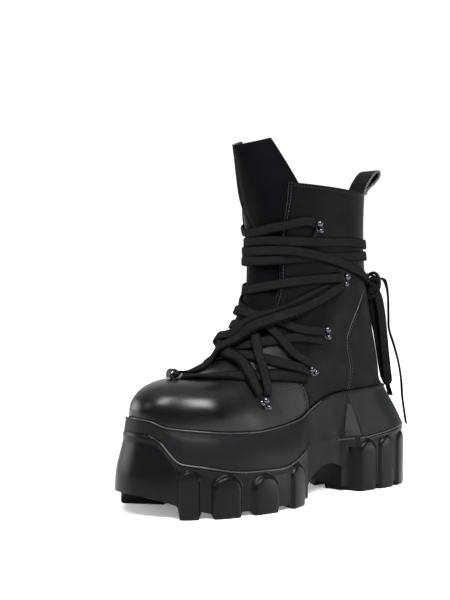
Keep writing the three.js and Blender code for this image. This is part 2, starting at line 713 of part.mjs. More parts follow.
// Turns a piece built on its own axes so that its z axis points along `out` and its y axis up.
function stand(solid, at, out) {
  const across = new THREE.Vector3(0, 0, 1).cross(out).normalize();
  const up = out.clone().cross(across);
  return solid.transform(new THREE.Matrix4().makeBasis(across, up, out).setPosition(at).elements);
}

// A domed stud with a wire ring that stands up from it and is open along the boot's edge.
function buildLaceRing(side, { y, z }) {
  const { at, out } = sideSpot(side, y, z);
  const dome = [
    [0, 0],
    [STUD_RADIUS, 0],
    [STUD_RADIUS, STUD_HEIGHT * 0.4],
    [0, STUD_HEIGHT],
  ];
  const stud = new THREE.LatheGeometry(dome.map(([radius, height]) => new THREE.Vector2(radius, height)), 8);
  stud.rotateX(Math.PI / 2);
  const wire = new THREE.TorusGeometry(RING_RADIUS, RING_WIRE, 4, 9);
  wire.rotateX(Math.PI / 2);
  wire.translate(0, 0, STUD_HEIGHT * 0.5 + RING_RADIUS);
  return stand(toSolid(stud).add(toSolid(wire)), at.clone().addScaledVector(out, GAP + 0.2), out);
}

// A metal strap bent into a loop on the toe cap.
const TOE_LOOP = { x: -4, y: -98.5, length: 9, height: 7.5, width: 6, thickness: 1.3 };

function buildToeLoop() {
  const { length, height, width, thickness } = TOE_LOOP;
  const arch = (half, top, foot) => {
    const path = new THREE.Path();
    path.moveTo(half, foot);
    path.lineTo(half, top - half);
    path.absarc(0, top - half, half, 0, Math.PI, false);
    path.lineTo(-half, foot);
    path.closePath();
    return path;
  };
  const shape = new THREE.Shape(arch(length / 2, height, 0).getPoints(5));
  shape.holes.push(arch(length / 2 - thickness, height - thickness, thickness));
  const geometry = new THREE.ExtrudeGeometry(shape, { depth: width, bevelEnabled: false, curveSegments: 5 });
  geometry.translate(0, 0, -width / 2);
  const cap = frontCurve.getPointAt(0.2);
  const lowest = Math.min(cap.z, 108.2);
  const frame = new THREE.Matrix4().makeBasis(
    new THREE.Vector3(0, 1, 0),
    new THREE.Vector3(0, 0, 1),
    new THREE.Vector3(1, 0, 0),
  );
  geometry.applyMatrix4(frame.setPosition(TOE_LOOP.x, TOE_LOOP.y, lowest + 1));
  return toSolid(geometry);
}

// A leather strap folded into a loop that stands on the back of the collar.
const PULL_LOOP_WIDTH = 22;
const PULL_LOOP_X = -2;
const PULL_LOOP_OUTSIDE = [
  [104.6, 267], [105.6, 271.5], [109.6, 278.5], [115.5, 285.8], [120, 289.5], [124, 290.6], [126.2, 289.2],
  [126.4, 286], [124.4, 282.3], [119.5, 277.6], [113.8, 273.6], [110.3, 270.6], [108.6, 267],
];
const PULL_LOOP_INSIDE = [
  [107.6, 271.6], [111.4, 277.5], [116.8, 284], [120.8, 287.3], [123.4, 288.2], [124.1, 287.2],
  [123, 284], [118.2, 279.4], [112.6, 275.4], [108.9, 272.4],
];

function buildPullLoop() {
  const corners = (rows) => rows.map(([y, z]) => new THREE.Vector2(y, z));
  const shape = new THREE.Shape(corners(PULL_LOOP_OUTSIDE).reverse());
  shape.holes.push(new THREE.Path(corners(PULL_LOOP_INSIDE)));
  const geometry = new THREE.ExtrudeGeometry(shape, { depth: PULL_LOOP_WIDTH, bevelEnabled: false });
  const frame = new THREE.Matrix4().makeBasis(
    new THREE.Vector3(0, 1, 0),
    new THREE.Vector3(0, 0, 1),
    new THREE.Vector3(1, 0, 0),
  );
  geometry.applyMatrix4(frame.setPosition(PULL_LOOP_X - PULL_LOOP_WIDTH / 2, 0, 0));
  return toSolid(geometry);
}

// ---------------------------------------------------------------- zip slider and its pull tab
const SLIDER = { y: 54.4, z: 255, width: 8, height: 11, depth: 2.6 };
const PIN_RADIUS = 0.9;
const BARREL_RADIUS = 1.9;
const BARREL_BORE = 1.2;
const BARREL_LENGTH = 3;
const PULL_WIDTH = 5.2;
const PULL_LENGTH = 21;
const PULL_THICKNESS = 1.2;
const sliderFace = faceAt(-1, SLIDER.y, SLIDER.z).x - 1.4; // inner face of the slider's body
const PIVOT = { x: sliderFace - SLIDER.depth - GAP - BARREL_RADIUS, z: SLIDER.z + 2 };

function crossPin(radius, length, z = PIVOT.z) {
  const geometry = new THREE.CylinderGeometry(radius, radius, length, 16);
  geometry.translate(PIVOT.x, SLIDER.y, z);
  return toSolid(geometry);
}

function buildSlider() {
  const { y, z, width, height, depth } = SLIDER;
  const body = block([sliderFace - depth, y - width / 2, z - height / 2], [sliderFace, y + width / 2, z + height / 2]);
  const ear = (sign) => {
    const near = y + sign * (BARREL_LENGTH / 2 + GAP);
    const far = near + sign * 1.1;
    const low = [PIVOT.x - 1.4, Math.min(near, far), PIVOT.z - 1.6];
    return block(low, [sliderFace - depth / 2, Math.max(near, far), PIVOT.z + 1.6]);
  };
  return union([body, ear(1), ear(-1), crossPin(PIN_RADIUS, BARREL_LENGTH + 2 * GAP + 1.6)]);
}

function buildZipPull() {
  const barrel = crossPin(BARREL_RADIUS, BARREL_LENGTH);
  const half = PULL_WIDTH / 2;
  const neckEnd = 4.5;
  const shape = new THREE.Shape();
  shape.moveTo(-BARREL_LENGTH / 2, 0);
  shape.lineTo(-BARREL_LENGTH / 2, -neckEnd);
  shape.lineTo(-half, -neckEnd - 2);
  shape.absarc(0, -PULL_LENGTH + half, half, Math.PI, 2 * Math.PI, false);
  shape.lineTo(half, -neckEnd - 2);
  shape.lineTo(BARREL_LENGTH / 2, -neckEnd);
  shape.lineTo(BARREL_LENGTH / 2, 0);
  const hole = new THREE.Path();
  hole.absarc(0, -PULL_LENGTH + half, 1.3, 0, 2 * Math.PI, true);
  shape.holes.push(hole);
  const plate = new THREE.ExtrudeGeometry(shape, { depth: PULL_THICKNESS, bevelEnabled: false, curveSegments: 5 });
  const frame = new THREE.Matrix4().makeBasis(
    new THREE.Vector3(0, 1, 0),
    new THREE.Vector3(0, 0, 1),
    new THREE.Vector3(1, 0, 0),
  );
  plate.applyMatrix4(frame.setPosition(PIVOT.x - PULL_THICKNESS / 2, SLIDER.y, PIVOT.z));
  return barrel.add(toSolid(plate)).subtract(crossPin(BARREL_BORE, BARREL_LENGTH + 2));
}

// ---------------------------------------------------------------- laces
const LACE_LIFT = 1.4; // between the upper's face and the lowest lace
const LAYER_RISE = 0.9; // from one lace to the one that crosses over it
const LACE_STEP = 15; // degrees round the boot from one cross-section to the next
const THROAT_DIP = 2; // the laces sink onto the tongue between the quarters' edges
function throatDip({ x: degrees, y: z }) {
  const open = 1 - THREE.MathUtils.smoothstep(Math.abs(degrees + 90), 12, 28);
  return THROAT_DIP * open * THREE.MathUtils.smoothstep(z, 126, 140);
}

// A flat lace through places given as [degrees round the boot, height].
function laceBand(route, layer, closed = false) {
  const lift = LACE_LIFT + layer * LAYER_RISE;
  const line = new THREE.CatmullRomCurve3(
    route.map(([degrees, z]) => new THREE.Vector3(degrees, z, 0)),
    false,
    "centripetal",
  );
  const sweep = Math.abs(route[route.length - 1][0] - route[0][0]);
  const count = Math.max(Math.round(sweep / LACE_STEP), 3);
  const spots = line.getPoints(count);
  if (closed) spots.pop();
  const places = spots.map((spot) => wrapSpot(spot.x, spot.y));
  const points = [];
  spots.forEach((spot, i) => {
    const before = places[closed ? (i + spots.length - 1) % spots.length : Math.max(i - 1, 0)];
    const after = places[closed ? (i + 1) % spots.length : Math.min(i + 1, spots.length - 1)];
    const along = after.clone().sub(before).normalize();
    const hint = new THREE.Vector3(Math.cos(spot.x * Math.PI / 180), Math.sin(spot.x * Math.PI / 180), 0);
    const out = outwardFrom(places[i], wrapSpot(spot.x + 3, spot.y), wrapSpot(spot.x, spot.y + 3), hint);
    const across = out.clone().cross(along).normalize().multiplyScalar(LACE_WIDTH / 2);
    const sunk = lift - throatDip(spot);
    const low = places[i].clone().addScaledVector(out, sunk);
    const high = places[i].clone().addScaledVector(out, sunk + LACE_THICKNESS);
    points.push(low.clone().add(across), low.clone().sub(across), high.clone().sub(across), high.clone().add(across));
  });
  const triangles = [];
  const rings = spots.length;
  for (let i = 0; i < (closed ? rings : rings - 1); i += 1) {
    const a = i * 4;
    const b = ((i + 1) % rings) * 4;
    for (let k = 0; k < 4; k += 1) {
      const next = (k + 1) % 4;
      triangles.push([a + k, a + next, b + next], [a + k, b + next, b + k]);
    }
  }
  if (!closed) {
    const last = (rings - 1) * 4;
    triangles.push([0, 3, 2], [0, 2, 1], [last, last + 1, last + 2], [last, last + 2, last + 3]);
  }
  return solidFrom(points, triangles);
}

// The end of a lace next to a ring, as [degrees, height]: from the outer side over the front, -90.
const SPREAD = 1.7; // between the laces of one ring, from layer to layer
function atRing(row, number, layer) {
  const side = row === "lateral" ? 1 : -1;
  const { y, z, laceY, laceZ } = LACE_RINGS[row][number - 1];
  const height = z + laceZ + (1 - layer) * SPREAD;
  const degrees = wrapAngle(faceAt(side, y + laceY, height));
  return [degrees > 90 ? degrees - 360 : degrees, height];
}

// Each crossing lace: the outer ring, its height at the front, the inner ring, and its layer.
const CROSSINGS = [
  { outer: 1, front: 229, inner: 1, layer: 1 },
  { outer: 1, front: 212, inner: 2, layer: 1 },
  { outer: 2, front: 183, inner: 2, layer: 0 },
  { outer: 2, front: 155, inner: 3, layer: 1 },
  { outer: 2, front: 133, inner: 4, layer: 2 },
  { outer: 3, front: 144, inner: 3, layer: 0 },
  { outer: 4, front: 128, inner: 4, layer: 0 },
  { outer: 5, front: 125, inner: 4, layer: 1 },
  { outer: 5, front: 140, inner: 3, layer: 2 },
  { outer: 4, front: 124, inner: 5, layer: 2 },
];
// Laces wound right round the shaft: height at the front, the outer side, the back, the inner side.
const WRAPS = [
  { front: 222, outer: 221, back: 220, inner: 221, layer: 0 },
  { front: 212, outer: 213, back: 211, inner: 214, layer: 0 },
  { front: 204, outer: 201, back: 193, inner: 209, layer: 1 },
];

function buildLattice() {
  const crossings = CROSSINGS.map(({ outer, front, inner, layer }) =>
    laceBand([atRing("lateral", outer, layer), [-90, front], atRing("medial", inner, layer)], layer));
  const wraps = WRAPS.map(({ front, outer, back, inner, layer }) =>
    laceBand([[-270, back], [-180, inner], [-90, front], [0, outer], [90, back]], layer, true));
  // Where three laces cross, their outer shell is kept and the small void between them is filled.
  const shells = union([...crossings, ...wraps]).decompose();
  return shells.reduce((outer, shell) => (shell.volume() > outer.volume() ? shell : outer));
}

// The free laces behind the ankle: middle lines as [x, y, z].
const CORD_RADIUS = 1.9;
const CORD_SIDES = 8;
const KNOT = { x: 9, y: 115.5, z: 187 };
const LOOP_ROUTE = [
  [12, 118, 178], [14.5, 119.5, 172], [17, 122.5, 158], [18, 126.5, 141], [18.5, 130.5, 122], [18.5, 134.5, 104],
  [18, 137, 95], [15.5, 138.2, 91.5], [13, 137.5, 95], [12, 134.8, 105], [11.5, 130.6, 122], [11, 126, 141],
  [10, 121.8, 158], [8.5, 118.5, 170], [8, 117.5, 177],
];
const LONG_END_ROUTE = [
  [13.5, 123.4, 190], [14, 126.5, 188.5], [15, 129, 181], [15.5, 130.2, 170], [15.5, 130.6, 156], [15.5, 131.5, 143],
  [20, 133.5, 128], [23.5, 136, 112], [22.5, 140.5, 96], [20, 144.5, 80], [18, 149.5, 64], [17, 152.5, 54],
];
const SHORT_END_ROUTE = [
  [3, 116.5, 179], [2, 118, 168], [2.5, 122, 152], [4, 126.5, 135], [5, 130.5, 118], [6, 135, 102],
  [7, 138.5, 89], [8, 141, 80],
];

function cord(route, steps) {
  const curve = new THREE.CatmullRomCurve3(route.map((at) => new THREE.Vector3(...at)), false, "centripetal");
  const corners = Array.from({ length: CORD_SIDES }, (_, i) => (2 * Math.PI * i) / CORD_SIDES);
  const section = new THREE.Shape(corners.map((angle) =>
    new THREE.Vector2(CORD_RADIUS * Math.cos(angle), CORD_RADIUS * Math.sin(angle))));
  return toSolid(new THREE.ExtrudeGeometry(section, { extrudePath: curve, steps, bevelEnabled: false }));
}

function buildKnot() {
  const lobe = (x, y, z, width, depth, height) => {
    const geometry = new THREE.SphereGeometry(1, 8, 6);
    geometry.scale(width, depth, height);
    geometry.translate(KNOT.x + x, KNOT.y + y, KNOT.z + z);
    return toSolid(geometry);
  };
  return union([lobe(0, 0, 0, 8, 5.5, 6), lobe(3, 1.5, 3, 5.5, 5, 5), lobe(-2.5, 0.5, -2, 6, 5, 5.5)]);
}

// ---------------------------------------------------------------- pieces
const rubber = { color: 0x1d1d1e, roughness: 0.5, metalness: 0 };
const treadRubber = { color: 0x1a1a1b, roughness: 0.6, metalness: 0 };
const leather = { color: 0x161617, roughness: 0.42, metalness: 0 };
const softLeather = { color: 0x19191a, roughness: 0.55, metalness: 0 };
const lining = { color: 0x2a2a2b, roughness: 0.9, metalness: 0 };
const blackNickel = { color: 0x3c3c40, roughness: 0.25, metalness: 1 };
const nickel = { color: 0xb9bbbe, roughness: 0.3, metalness: 1 };
const cotton = { color: 0x1b1b1c, roughness: 0.95, metalness: 0 };

const group = new THREE.Group();
function place(name, solid, look) {
  const mesh = new THREE.Mesh(toGeometry(solid), new THREE.MeshStandardMaterial(look));
  mesh.name = name;
  group.add(mesh);
}
place("outsole_forefoot", buildForefootOutsole(), treadRubber);
place("outsole_heel", buildHeelOutsole(), treadRubber);
place("midsole", buildMidsole(), rubber);
place("insole", buildInsole(), lining);
place("upper", buildUpper(), leather);
place("tongue", buildTongue(), softLeather);
place("pull_loop", buildPullLoop(), softLeather);
place("toe_loop", buildToeLoop(), blackNickel);
for (const [row, spots] of Object.entries(LACE_RINGS)) {
  const side = row === "lateral" ? 1 : -1;
  spots.forEach((spot, i) => place(`lace_ring_${row}_${i + 1}`, buildLaceRing(side, spot), blackNickel));
}
place("zip_chain", buildZipChain(), nickel);
place("zip_slider", buildSlider(), nickel);
place("zip_pull", buildZipPull(), nickel);
place("lace_lattice", buildLattice(), cotton);
place("lace_knot", buildKnot(), cotton);
place("lace_loop", cord(LOOP_ROUTE, 28), cotton);
place("lace_end_long", cord(LONG_END_ROUTE, 20), cotton);
place("lace_end_short", cord(SHORT_END_ROUTE, 12), cotton);

export default group;
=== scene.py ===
"""Left platform boot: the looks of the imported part. Shapes are worked out in millimetres.

+X is the outer side of the foot, -Y the toe, +Z up; the origin is on the floor, under the middle.
"""

import math

import bpy
import numpy as np
from mathutils import Matrix, Vector
from mathutils.bvhtree import BVHTree


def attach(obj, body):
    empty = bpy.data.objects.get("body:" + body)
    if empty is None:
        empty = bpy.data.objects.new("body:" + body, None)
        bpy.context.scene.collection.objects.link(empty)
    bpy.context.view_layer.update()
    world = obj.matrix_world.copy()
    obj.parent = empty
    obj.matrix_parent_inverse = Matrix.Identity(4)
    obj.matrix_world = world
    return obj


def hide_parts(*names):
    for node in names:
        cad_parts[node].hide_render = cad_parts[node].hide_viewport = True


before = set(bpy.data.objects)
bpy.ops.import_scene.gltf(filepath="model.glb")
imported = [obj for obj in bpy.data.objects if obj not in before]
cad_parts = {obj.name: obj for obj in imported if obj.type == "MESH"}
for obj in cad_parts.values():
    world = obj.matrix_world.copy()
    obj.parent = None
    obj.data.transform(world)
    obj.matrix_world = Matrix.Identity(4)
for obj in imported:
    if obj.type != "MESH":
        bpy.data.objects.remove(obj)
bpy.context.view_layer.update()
MM = 0.001
OUTER, INNER = 1, -1

# ------------------------------------------------------------------ driving dimensions, in mm
SOLE_HALF = 150  # half the length of the sole
WALL = 2.4  # the upper's leather
TONGUE_WALL = 3
TONGUE_DEPTH = 2.8  # how far the tongue's face lies behind the upper's
UPPER_TOE, UPPER_HEEL = -137, 125  # ends of the feather line, along y
LIP = 2  # how far the midsole stands out round the upper
JOINT_FRONT, JOINT_REAR = 3, 62  # ends of the waist between the outsole's two blocks, along y
LACE_WIDTH = 8
LACE_THICKNESS = 2.5


# ------------------------------------------------------------------ curves
def curve_through(rows):
    """A smooth curve through [place, value] rows, without overshoot between them."""
    x, y = np.array(rows, float).T
    slope = np.diff(y) / np.diff(x)
    before, after = np.append(slope[:1], slope), np.append(slope, slope[-1:])
    product = before * after
    total = np.where(product > 0, before + after, 1)
    tangent = np.where(product > 0, 2 * product / total, 0)

    def at(place):
        place = np.clip(place, x[0], x[-1])
        i = np.clip(np.searchsorted(x, place, "right") - 1, 0, len(x) - 2)
        width = x[i + 1] - x[i]
        s = (place - x[i]) / width
        rise = s * s * (3 - 2 * s)
        bend = (s - 1) * s * width
        return y[i] + (y[i + 1] - y[i]) * rise + bend * ((s - 1) * tangent[i] + s * tangent[i + 1])

    return at


def curve(places, values):
    """A smooth curve through values at places."""
    return curve_through(list(zip(places, values)))


def smoothstep(value, low, high):
    """0 up to low, 1 from high on, with a soft step between them."""
    s = np.clip((np.asarray(value, float) - low) / (high - low), 0, 1)
    return s * s * (3 - 2 * s)


def mix(a, b, share):
    return a + (b - a) * share


def round_end(distance, length, fullness):
    """Width of a rounded end at a distance from its tip, from 0 to 1 over the end's length."""
    rest = 1 - np.clip(distance / length, 0, 1)
    return (1 - rest**fullness) ** (1 / fullness)


def spline(points, per=24):
    """A centripetal curve through the points, as a dense line."""
    p = np.array(points, float)
    p = np.vstack([2 * p[0] - p[1], p, 2 * p[-1] - p[-2]])
    line = []
    for i in range(len(p) - 3):
        a, b, c, d = p[i : i + 4]
        t0, t1, t2 = (max(np.linalg.norm(v - u), 1e-9) ** 0.5 for u, v in ((a, b), (b, c), (c, d)))
        m1 = t1 * ((b - a) / t0 - (c - a) / (t0 + t1) + (c - b) / t1)
        m2 = t1 * ((c - b) / t1 - (d - b) / (t1 + t2) + (d - c) / t2)
        s = np.linspace(0, 1, per, endpoint=False)[:, None]
        line.append(b + m1 * s + (3 * (c - b) - 2 * m1 - m2) * s**2 + (2 * (b - c) + m1 + m2) * s**3)
    return np.vstack(line + [p[-2][None]])


def line_lengths(line):
    """Distance of each place of a line from its start."""
    return np.append(0, np.cumsum(np.linalg.norm(np.diff(line, axis=0), axis=1)))


def resample(line, step):
    """The line with even steps of about the given length."""
    lengths = line_lengths(line)
    count = max(int(round(lengths[-1] / step)), 2)
    at = np.linspace(0, lengths[-1], count + 1)
    return np.stack([np.interp(at, lengths, column) for column in line.T], axis=1)


def unit(vectors):
    return vectors / np.maximum(np.linalg.norm(vectors, axis=-1, keepdims=True), 1e-12)


def circle(corners):
    """Even places round the unit circle."""
    angle = np.linspace(0, 2 * np.pi, corners, endpoint=False)
    return np.stack([np.cos(angle), np.sin(angle)], axis=1)


# ------------------------------------------------------------------ plan of the foot
# Half widths along the foot at shares of its length from the toe: the feather line, where the upper
# meets the sole, and the base line, the widest line of the sole near the floor.
PLAN_SHARES = [0, 0.1, 0.2, 0.3, 0.4, 0.5, 0.6, 0.7, 0.8, 1]
FEATHER_OUTER = [40, 45, 49, 50, 46, 40, 35, 33, 33, 32]
FEATHER_INNER = [34, 42, 48, 49, 45, 38, 34, 33, 33, 32]
BASE_OUTER = [47, 53, 59, 62, 61, 51, 42, 38, 39, 38]
BASE_INNER = [42, 51, 58, 60.5, 57, 47, 40, 38, 39, 38]
CENTRE = [-3, -3, -2, -1, 0, 0, -1, -2, -2, -2]
feather_width = {OUTER: curve(PLAN_SHARES, FEATHER_OUTER), INNER: curve(PLAN_SHARES, FEATHER_INNER)}
base_width = {OUTER: curve(PLAN_SHARES, BASE_OUTER), INNER: curve(PLAN_SHARES, BASE_INNER)}
centre_line = curve(PLAN_SHARES, CENTRE)
TOE_ROUND, HEEL_ROUND, END_FULLNESS = 0.25, 0.15, 2.3

# Heights along the foot, as [y, z].
feather_z = curve_through([
    [-142, 79], [-135, 77.5], [-126, 72.5], [-110, 70], [-75, 66.5], [-50, 65.5], [-30, 66.5], [5, 71],
    [22, 79.5], [45, 88.5], [60, 90.5], [93, 92.5], [130, 93.5],
])
ridge_z = curve_through([
    [-150, 68], [-135.5, 67], [-132.5, 65], [-123.5, 47.5], [-120.5, 45.2], [-107, 42.5], [-67, 36],
    [-35, 35.5], [-8, 41], [JOINT_FRONT, 46],
])
ledge_z = curve_through([[50, 47.5], [80, 48.5], [105, 51.5], [130, 55], [150, 56]])
tread_z = curve_through([[-150, 19], [-140, 17.5], [-125, 12], [-112, 8], [-98, 4.6], [-70, 4], [10, 4.6]])
HEEL_TREAD_Z = 5


def plan_round(share):
    return round_end(share, TOE_ROUND, END_FULLNESS) * round_end(1 - share, HEEL_ROUND, END_FULLNESS)


def sole_edge(share, side, flare, inset=0.0):
    """x and y of the sole's side: flare 0 is the feather line with its lip, flare 1 the base line."""
    rim = LIP - inset
    beyond = -np.minimum(rim - LIP, 0)
    toe = mix(UPPER_TOE - rim, -SOLE_HALF + beyond, flare)
    heel = mix(UPPER_HEEL + rim, SOLE_HALF - beyond, flare)
    width = mix(feather_width[side](share) + rim, base_width[side](share) - inset, flare)
    x = centre_line(share) + side * width * plan_round(share)
    return x, mix(toe, heel, share)


# ------------------------------------------------------------------ form of the foot and shaft
FRONT_PROFILE = spline([
    [UPPER_TOE, 79.4], [-136.5, 87], [-132, 95.5], [-123, 102.5], [-109, 107], [-90, 109.5], [-72, 112.5],
    [-56, 118.5], [-43, 131], [-32, 152], [-23, 180], [-18, 208], [-17.5, 232], [-27.5, 264], [-38, 304],
    [-41, 317],
])
BACK_PROFILE = spline([
    [UPPER_HEEL, 93.4], [121.5, 112], [115, 138], [109, 163], [105.5, 188], [104, 212], [104.5, 235],
    [108.5, 266], [113, 290], [117, 314],
])
GIRTH_TURNS = [0, 0.3, 0.5, 0.62, 0.75, 0.9, 1, 1.3, 1.6, 1.8, 2]
front_share = curve(GIRTH_TURNS, [0, 0.215, 0.36, 0.45, 0.54, 0.63, 0.68, 0.76, 0.84, 0.92, 1])
half_girth = {
    OUTER: curve(GIRTH_TURNS, [0, 0, 41, 40, 38, 37, 37, 38, 40, 40, 40]),
    INNER: curve(GIRTH_TURNS, [0, 0, 40, 39, 37, 36, 36, 37, 39, 39, 39]),
}
fullness = curve(GIRTH_TURNS, [2.3, 2.35, 2.2, 2.1, 2.1, 2.15, 2.2, 2.2, 2.05, 1.8, 1.6])
SIDE_SWELL = 1.012  # least width of the upper, over its width at the feather line
SEAT = 0.4  # height of the upper's lower edge over the feather line
THROAT_CENTRE = -2
HEEL_SOFTENING = 220
# Lengths in mm of one turn up the form and of half of its way round, for the size of a mesh's cells.
TURN_LENGTH, HALF_LENGTH = 200, 150


def along_profile(profile, share):
    """y and z of the place at a share of a profile's length."""
    lengths = line_lengths(profile)
    at = np.clip(share, 0, 1) * lengths[-1]
    return np.interp(at, lengths, profile[:, 0]), np.interp(at, lengths, profile[:, 1])


def signed_power(value, power):
    return np.sign(value) * np.abs(value) ** power


def form_points(turn, across, side):
    """Turn 0 to 1 goes round the feather line, 1 to 2 up the back; across 0 is the front, 1 the end."""
    on_foot = turn < 1
    share = np.where(on_foot, (1 - np.cos(np.pi * np.minimum(turn, 1))) / 2, 1)
    front_y, front_z = along_profile(FRONT_PROFILE, front_share(turn))
    back_y, back_z = along_profile(BACK_PROFILE, turn - 1)
    y = np.where(on_foot, mix(UPPER_TOE, UPPER_HEEL, share), back_y)
    z = np.where(on_foot, feather_z(y) + SEAT, back_z)
    end_width = np.where(on_foot, feather_width[side](share) * plan_round(share), 0)
    width = np.maximum(half_girth[side](turn), end_width * SIDE_SWELL)
    power = fullness(turn)
    ratio = np.where(width > 0, end_width / np.maximum(width, 1e-9), 0)
    end_angle = np.pi - np.arcsin(ratio ** (power / 2))
    angle = end_angle * across
    reach = 1 - signed_power(np.cos(end_angle), 2 / power)
    along = (1 - signed_power(np.cos(angle), 2 / power)) / reach
    out = width * np.maximum(np.sin(angle), 0) ** (2 / power)
    start = mix(centre_line(0.0), THROAT_CENTRE, np.minimum(turn / 0.4, 1))
    centre = np.where(turn < 0.5, start, THROAT_CENTRE)
    x = mix(centre, centre_line(share), along) + side * out
    return np.stack([x, mix(front_y, y, along), mix(front_z, z, along)], axis=-1)


class Skin:
    """The outer face of the form as a fine grid: turn 0 to 2, across -1 (inner) to 1 (outer)."""

    def __init__(self, turns=360, half=170):
        self.turns, self.half = turns, half
        turn = np.linspace(0, 2, turns + 1)[:, None] + np.zeros((1, half + 1))
        across = np.linspace(0, 1, half + 1)[None, :] + np.zeros((turns + 1, 1))
        outer = form_points(turn, across, OUTER)
        inner = form_points(turn, across, INNER)
        self.points = np.concatenate([inner[:, :0:-1], outer], axis=1)
        self.soften_heel()
        self.normals = self.find_normals()

    def soften_heel(self):
        """Takes the diagonal crease out of the heel, where the rows start to climb the back."""
        turn = np.linspace(0, 2, self.turns + 1)
        weight = (smoothstep(turn, 0.62, 0.9) * (1 - smoothstep(turn, 1.25, 1.6)) * 0.5)[1:-1, None, None]
        for _ in range(HEEL_SOFTENING):
            p = self.points
            around = (p[2:, 1:-1] + p[:-2, 1:-1] + p[1:-1, 2:] + p[1:-1, :-2]) / 4
            p[1:-1, 1:-1] += (around - p[1:-1, 1:-1]) * weight

    def find_normals(self):
        up = np.gradient(self.points, axis=0)
        over = np.gradient(self.points, axis=1)
        normals = unit(np.cross(over, up))
        normals[0] = normals[1]
        return normals

    def sample(self, grid, turn, across):
        """The grid's values between its rows and columns."""
        row = np.clip(turn / 2 * self.turns, 0, self.turns - 1e-6)
        column = np.clip((across + 1) * self.half, 0, 2 * self.half - 1e-6)
        i, j = row.astype(int), column.astype(int)
        s, t = (row - i)[..., None], (column - j)[..., None]
        top = mix(grid[i + 1, j], grid[i + 1, j + 1], t)
        return mix(mix(grid[i, j], grid[i, j + 1], t), top, s)

    def at(self, turn, across):
        return self.sample(self.points, turn, across)

    def out(self, turn, across):
        return unit(self.sample(self.normals, turn, across))

    def mesh(self):
        points = self.points[::2, ::2]
        rows, columns = points.shape[:2]
        return points.reshape(-1, 3), grid_faces(rows, columns)


def grid_faces(rows, columns, wrap=False):
    """Quads of a grid of points; wrap joins its last column to its first."""
    i, j = np.meshgrid(np.arange(rows - 1), np.arange(columns if wrap else columns - 1), indexing="ij")
    next_j = (j + 1) % columns
    quads = [i * columns + j, i * columns + next_j, (i + 1) * columns + next_j, (i + 1) * columns + j]
    return np.stack(quads, axis=-1).reshape(-1, 4)


def tree_of(points, faces):
    return BVHTree.FromPolygons(np.asarray(points).tolist(), np.asarray(faces).tolist())


skin = Skin()
skin_tree = tree_of(*skin.mesh())
# Where the rays that look for the form's face start, outside it.
SIDE_START, WRAP_START = 120, 150


def side_spot(side, y, z):
    """The place on the form's side at y, z, with its outward direction."""
    hit, normal, _, _ = skin_tree.ray_cast(Vector((side * SIDE_START, y, z)), Vector((-side, 0, 0)))
    if hit is None:
        return None
    normal = np.array(normal)
    return np.array(hit), normal * np.sign(normal[0] * side)


def wrap_spot(degrees, z):
    """The place at an angle round the boot: 0 is the outer side, -90 the front, 90 the back."""
    angle = math.radians(degrees)
    out = Vector((math.cos(angle), math.sin(angle), 0))
    middle = Vector((THROAT_CENTRE, mix(-15, 45, np.clip((z - 90) / 80, 0, 1)), z))
    hit, normal, _, _ = skin_tree.ray_cast(middle + out * WRAP_START, -out)
    if normal.dot(out) < 0:
        normal = -normal
    return np.array(hit), np.array(normal)


# ------------------------------------------------------------------ materials
def linear(code):
    """Linear colour from an sRGB hex code."""
    values = [int(code[i : i + 2], 16) / 255 for i in (0, 2, 4)]
    return [v / 12.92 if v <= 0.04045 else ((v + 0.055) / 1.055) ** 2.4 for v in values] + [1]


def node(tree, kind, values=(), links=(), **settings):
    """One shader node with its settings, socket values and incoming links."""
    new = tree.nodes.new(kind)
    for name, value in settings.items():
        setattr(new, name, value)
    for name, value in dict(values).items():
        new.inputs[name].default_value = value
    for name, source in dict(links).items():
        tree.links.new(source, new.inputs[name])
    return new


def surface(name, **values):
    """A material with its shader, and a place in the object's own space in millimetres."""
    material = bpy.data.materials.new(name)
    material.use_nodes = True
    tree = material.node_tree
    shader = tree.nodes["Principled BSDF"]
    for key, value in values.items():
        shader.inputs[key.replace("_", " ")].default_value = value
    place = node(tree, "ShaderNodeTexCoord").outputs["Object"]
    scaled = node(tree, "ShaderNodeVectorMath", {1: (1 / MM,) * 3}, {0: place}, operation="MULTIPLY")
    return material, tree, shader, scaled.outputs["Vector"]


# Octaves of the soft noises, and the range that most of their values lie in.
OCTAVES = {"Detail": 3.0, "Roughness": 0.55}
MIDDLE = (0.3, 0.7)
# A span is written as the values it runs from, then the values it runs to.
SPAN = ("From Min", "From Max", "To Min", "To Max")


def mottle(tree, shader, place, size, dark, light):
    """Two close colours in soft patches of about `size` millimetres."""
    patch = node(tree, "ShaderNodeTexNoise", {"Scale": 1 / size, **OCTAVES}, {"Vector": place})
    links = {"Factor": patch.outputs["Fac"]}
    colour = node(tree, "ShaderNodeMix", {"A": linear(dark), "B": linear(light)}, links, data_type="RGBA")
    tree.links.new(colour.outputs[2], shader.inputs["Base Color"])
    return colour.outputs[2]


def polish(tree, shader, place, size, shiny, rough):
    """Roughness that wanders between two values in patches of about `size` millimetres."""
    patch = node(tree, "ShaderNodeTexNoise", {"Scale": 1 / size, **OCTAVES}, {"Vector": place})
    span = dict(zip(SPAN, (*MIDDLE, shiny, rough)))
    level = node(tree, "ShaderNodeMapRange", span, {"Value": patch.outputs["Fac"]}).outputs["Result"]
    tree.links.new(level, shader.inputs["Roughness"])
    return level


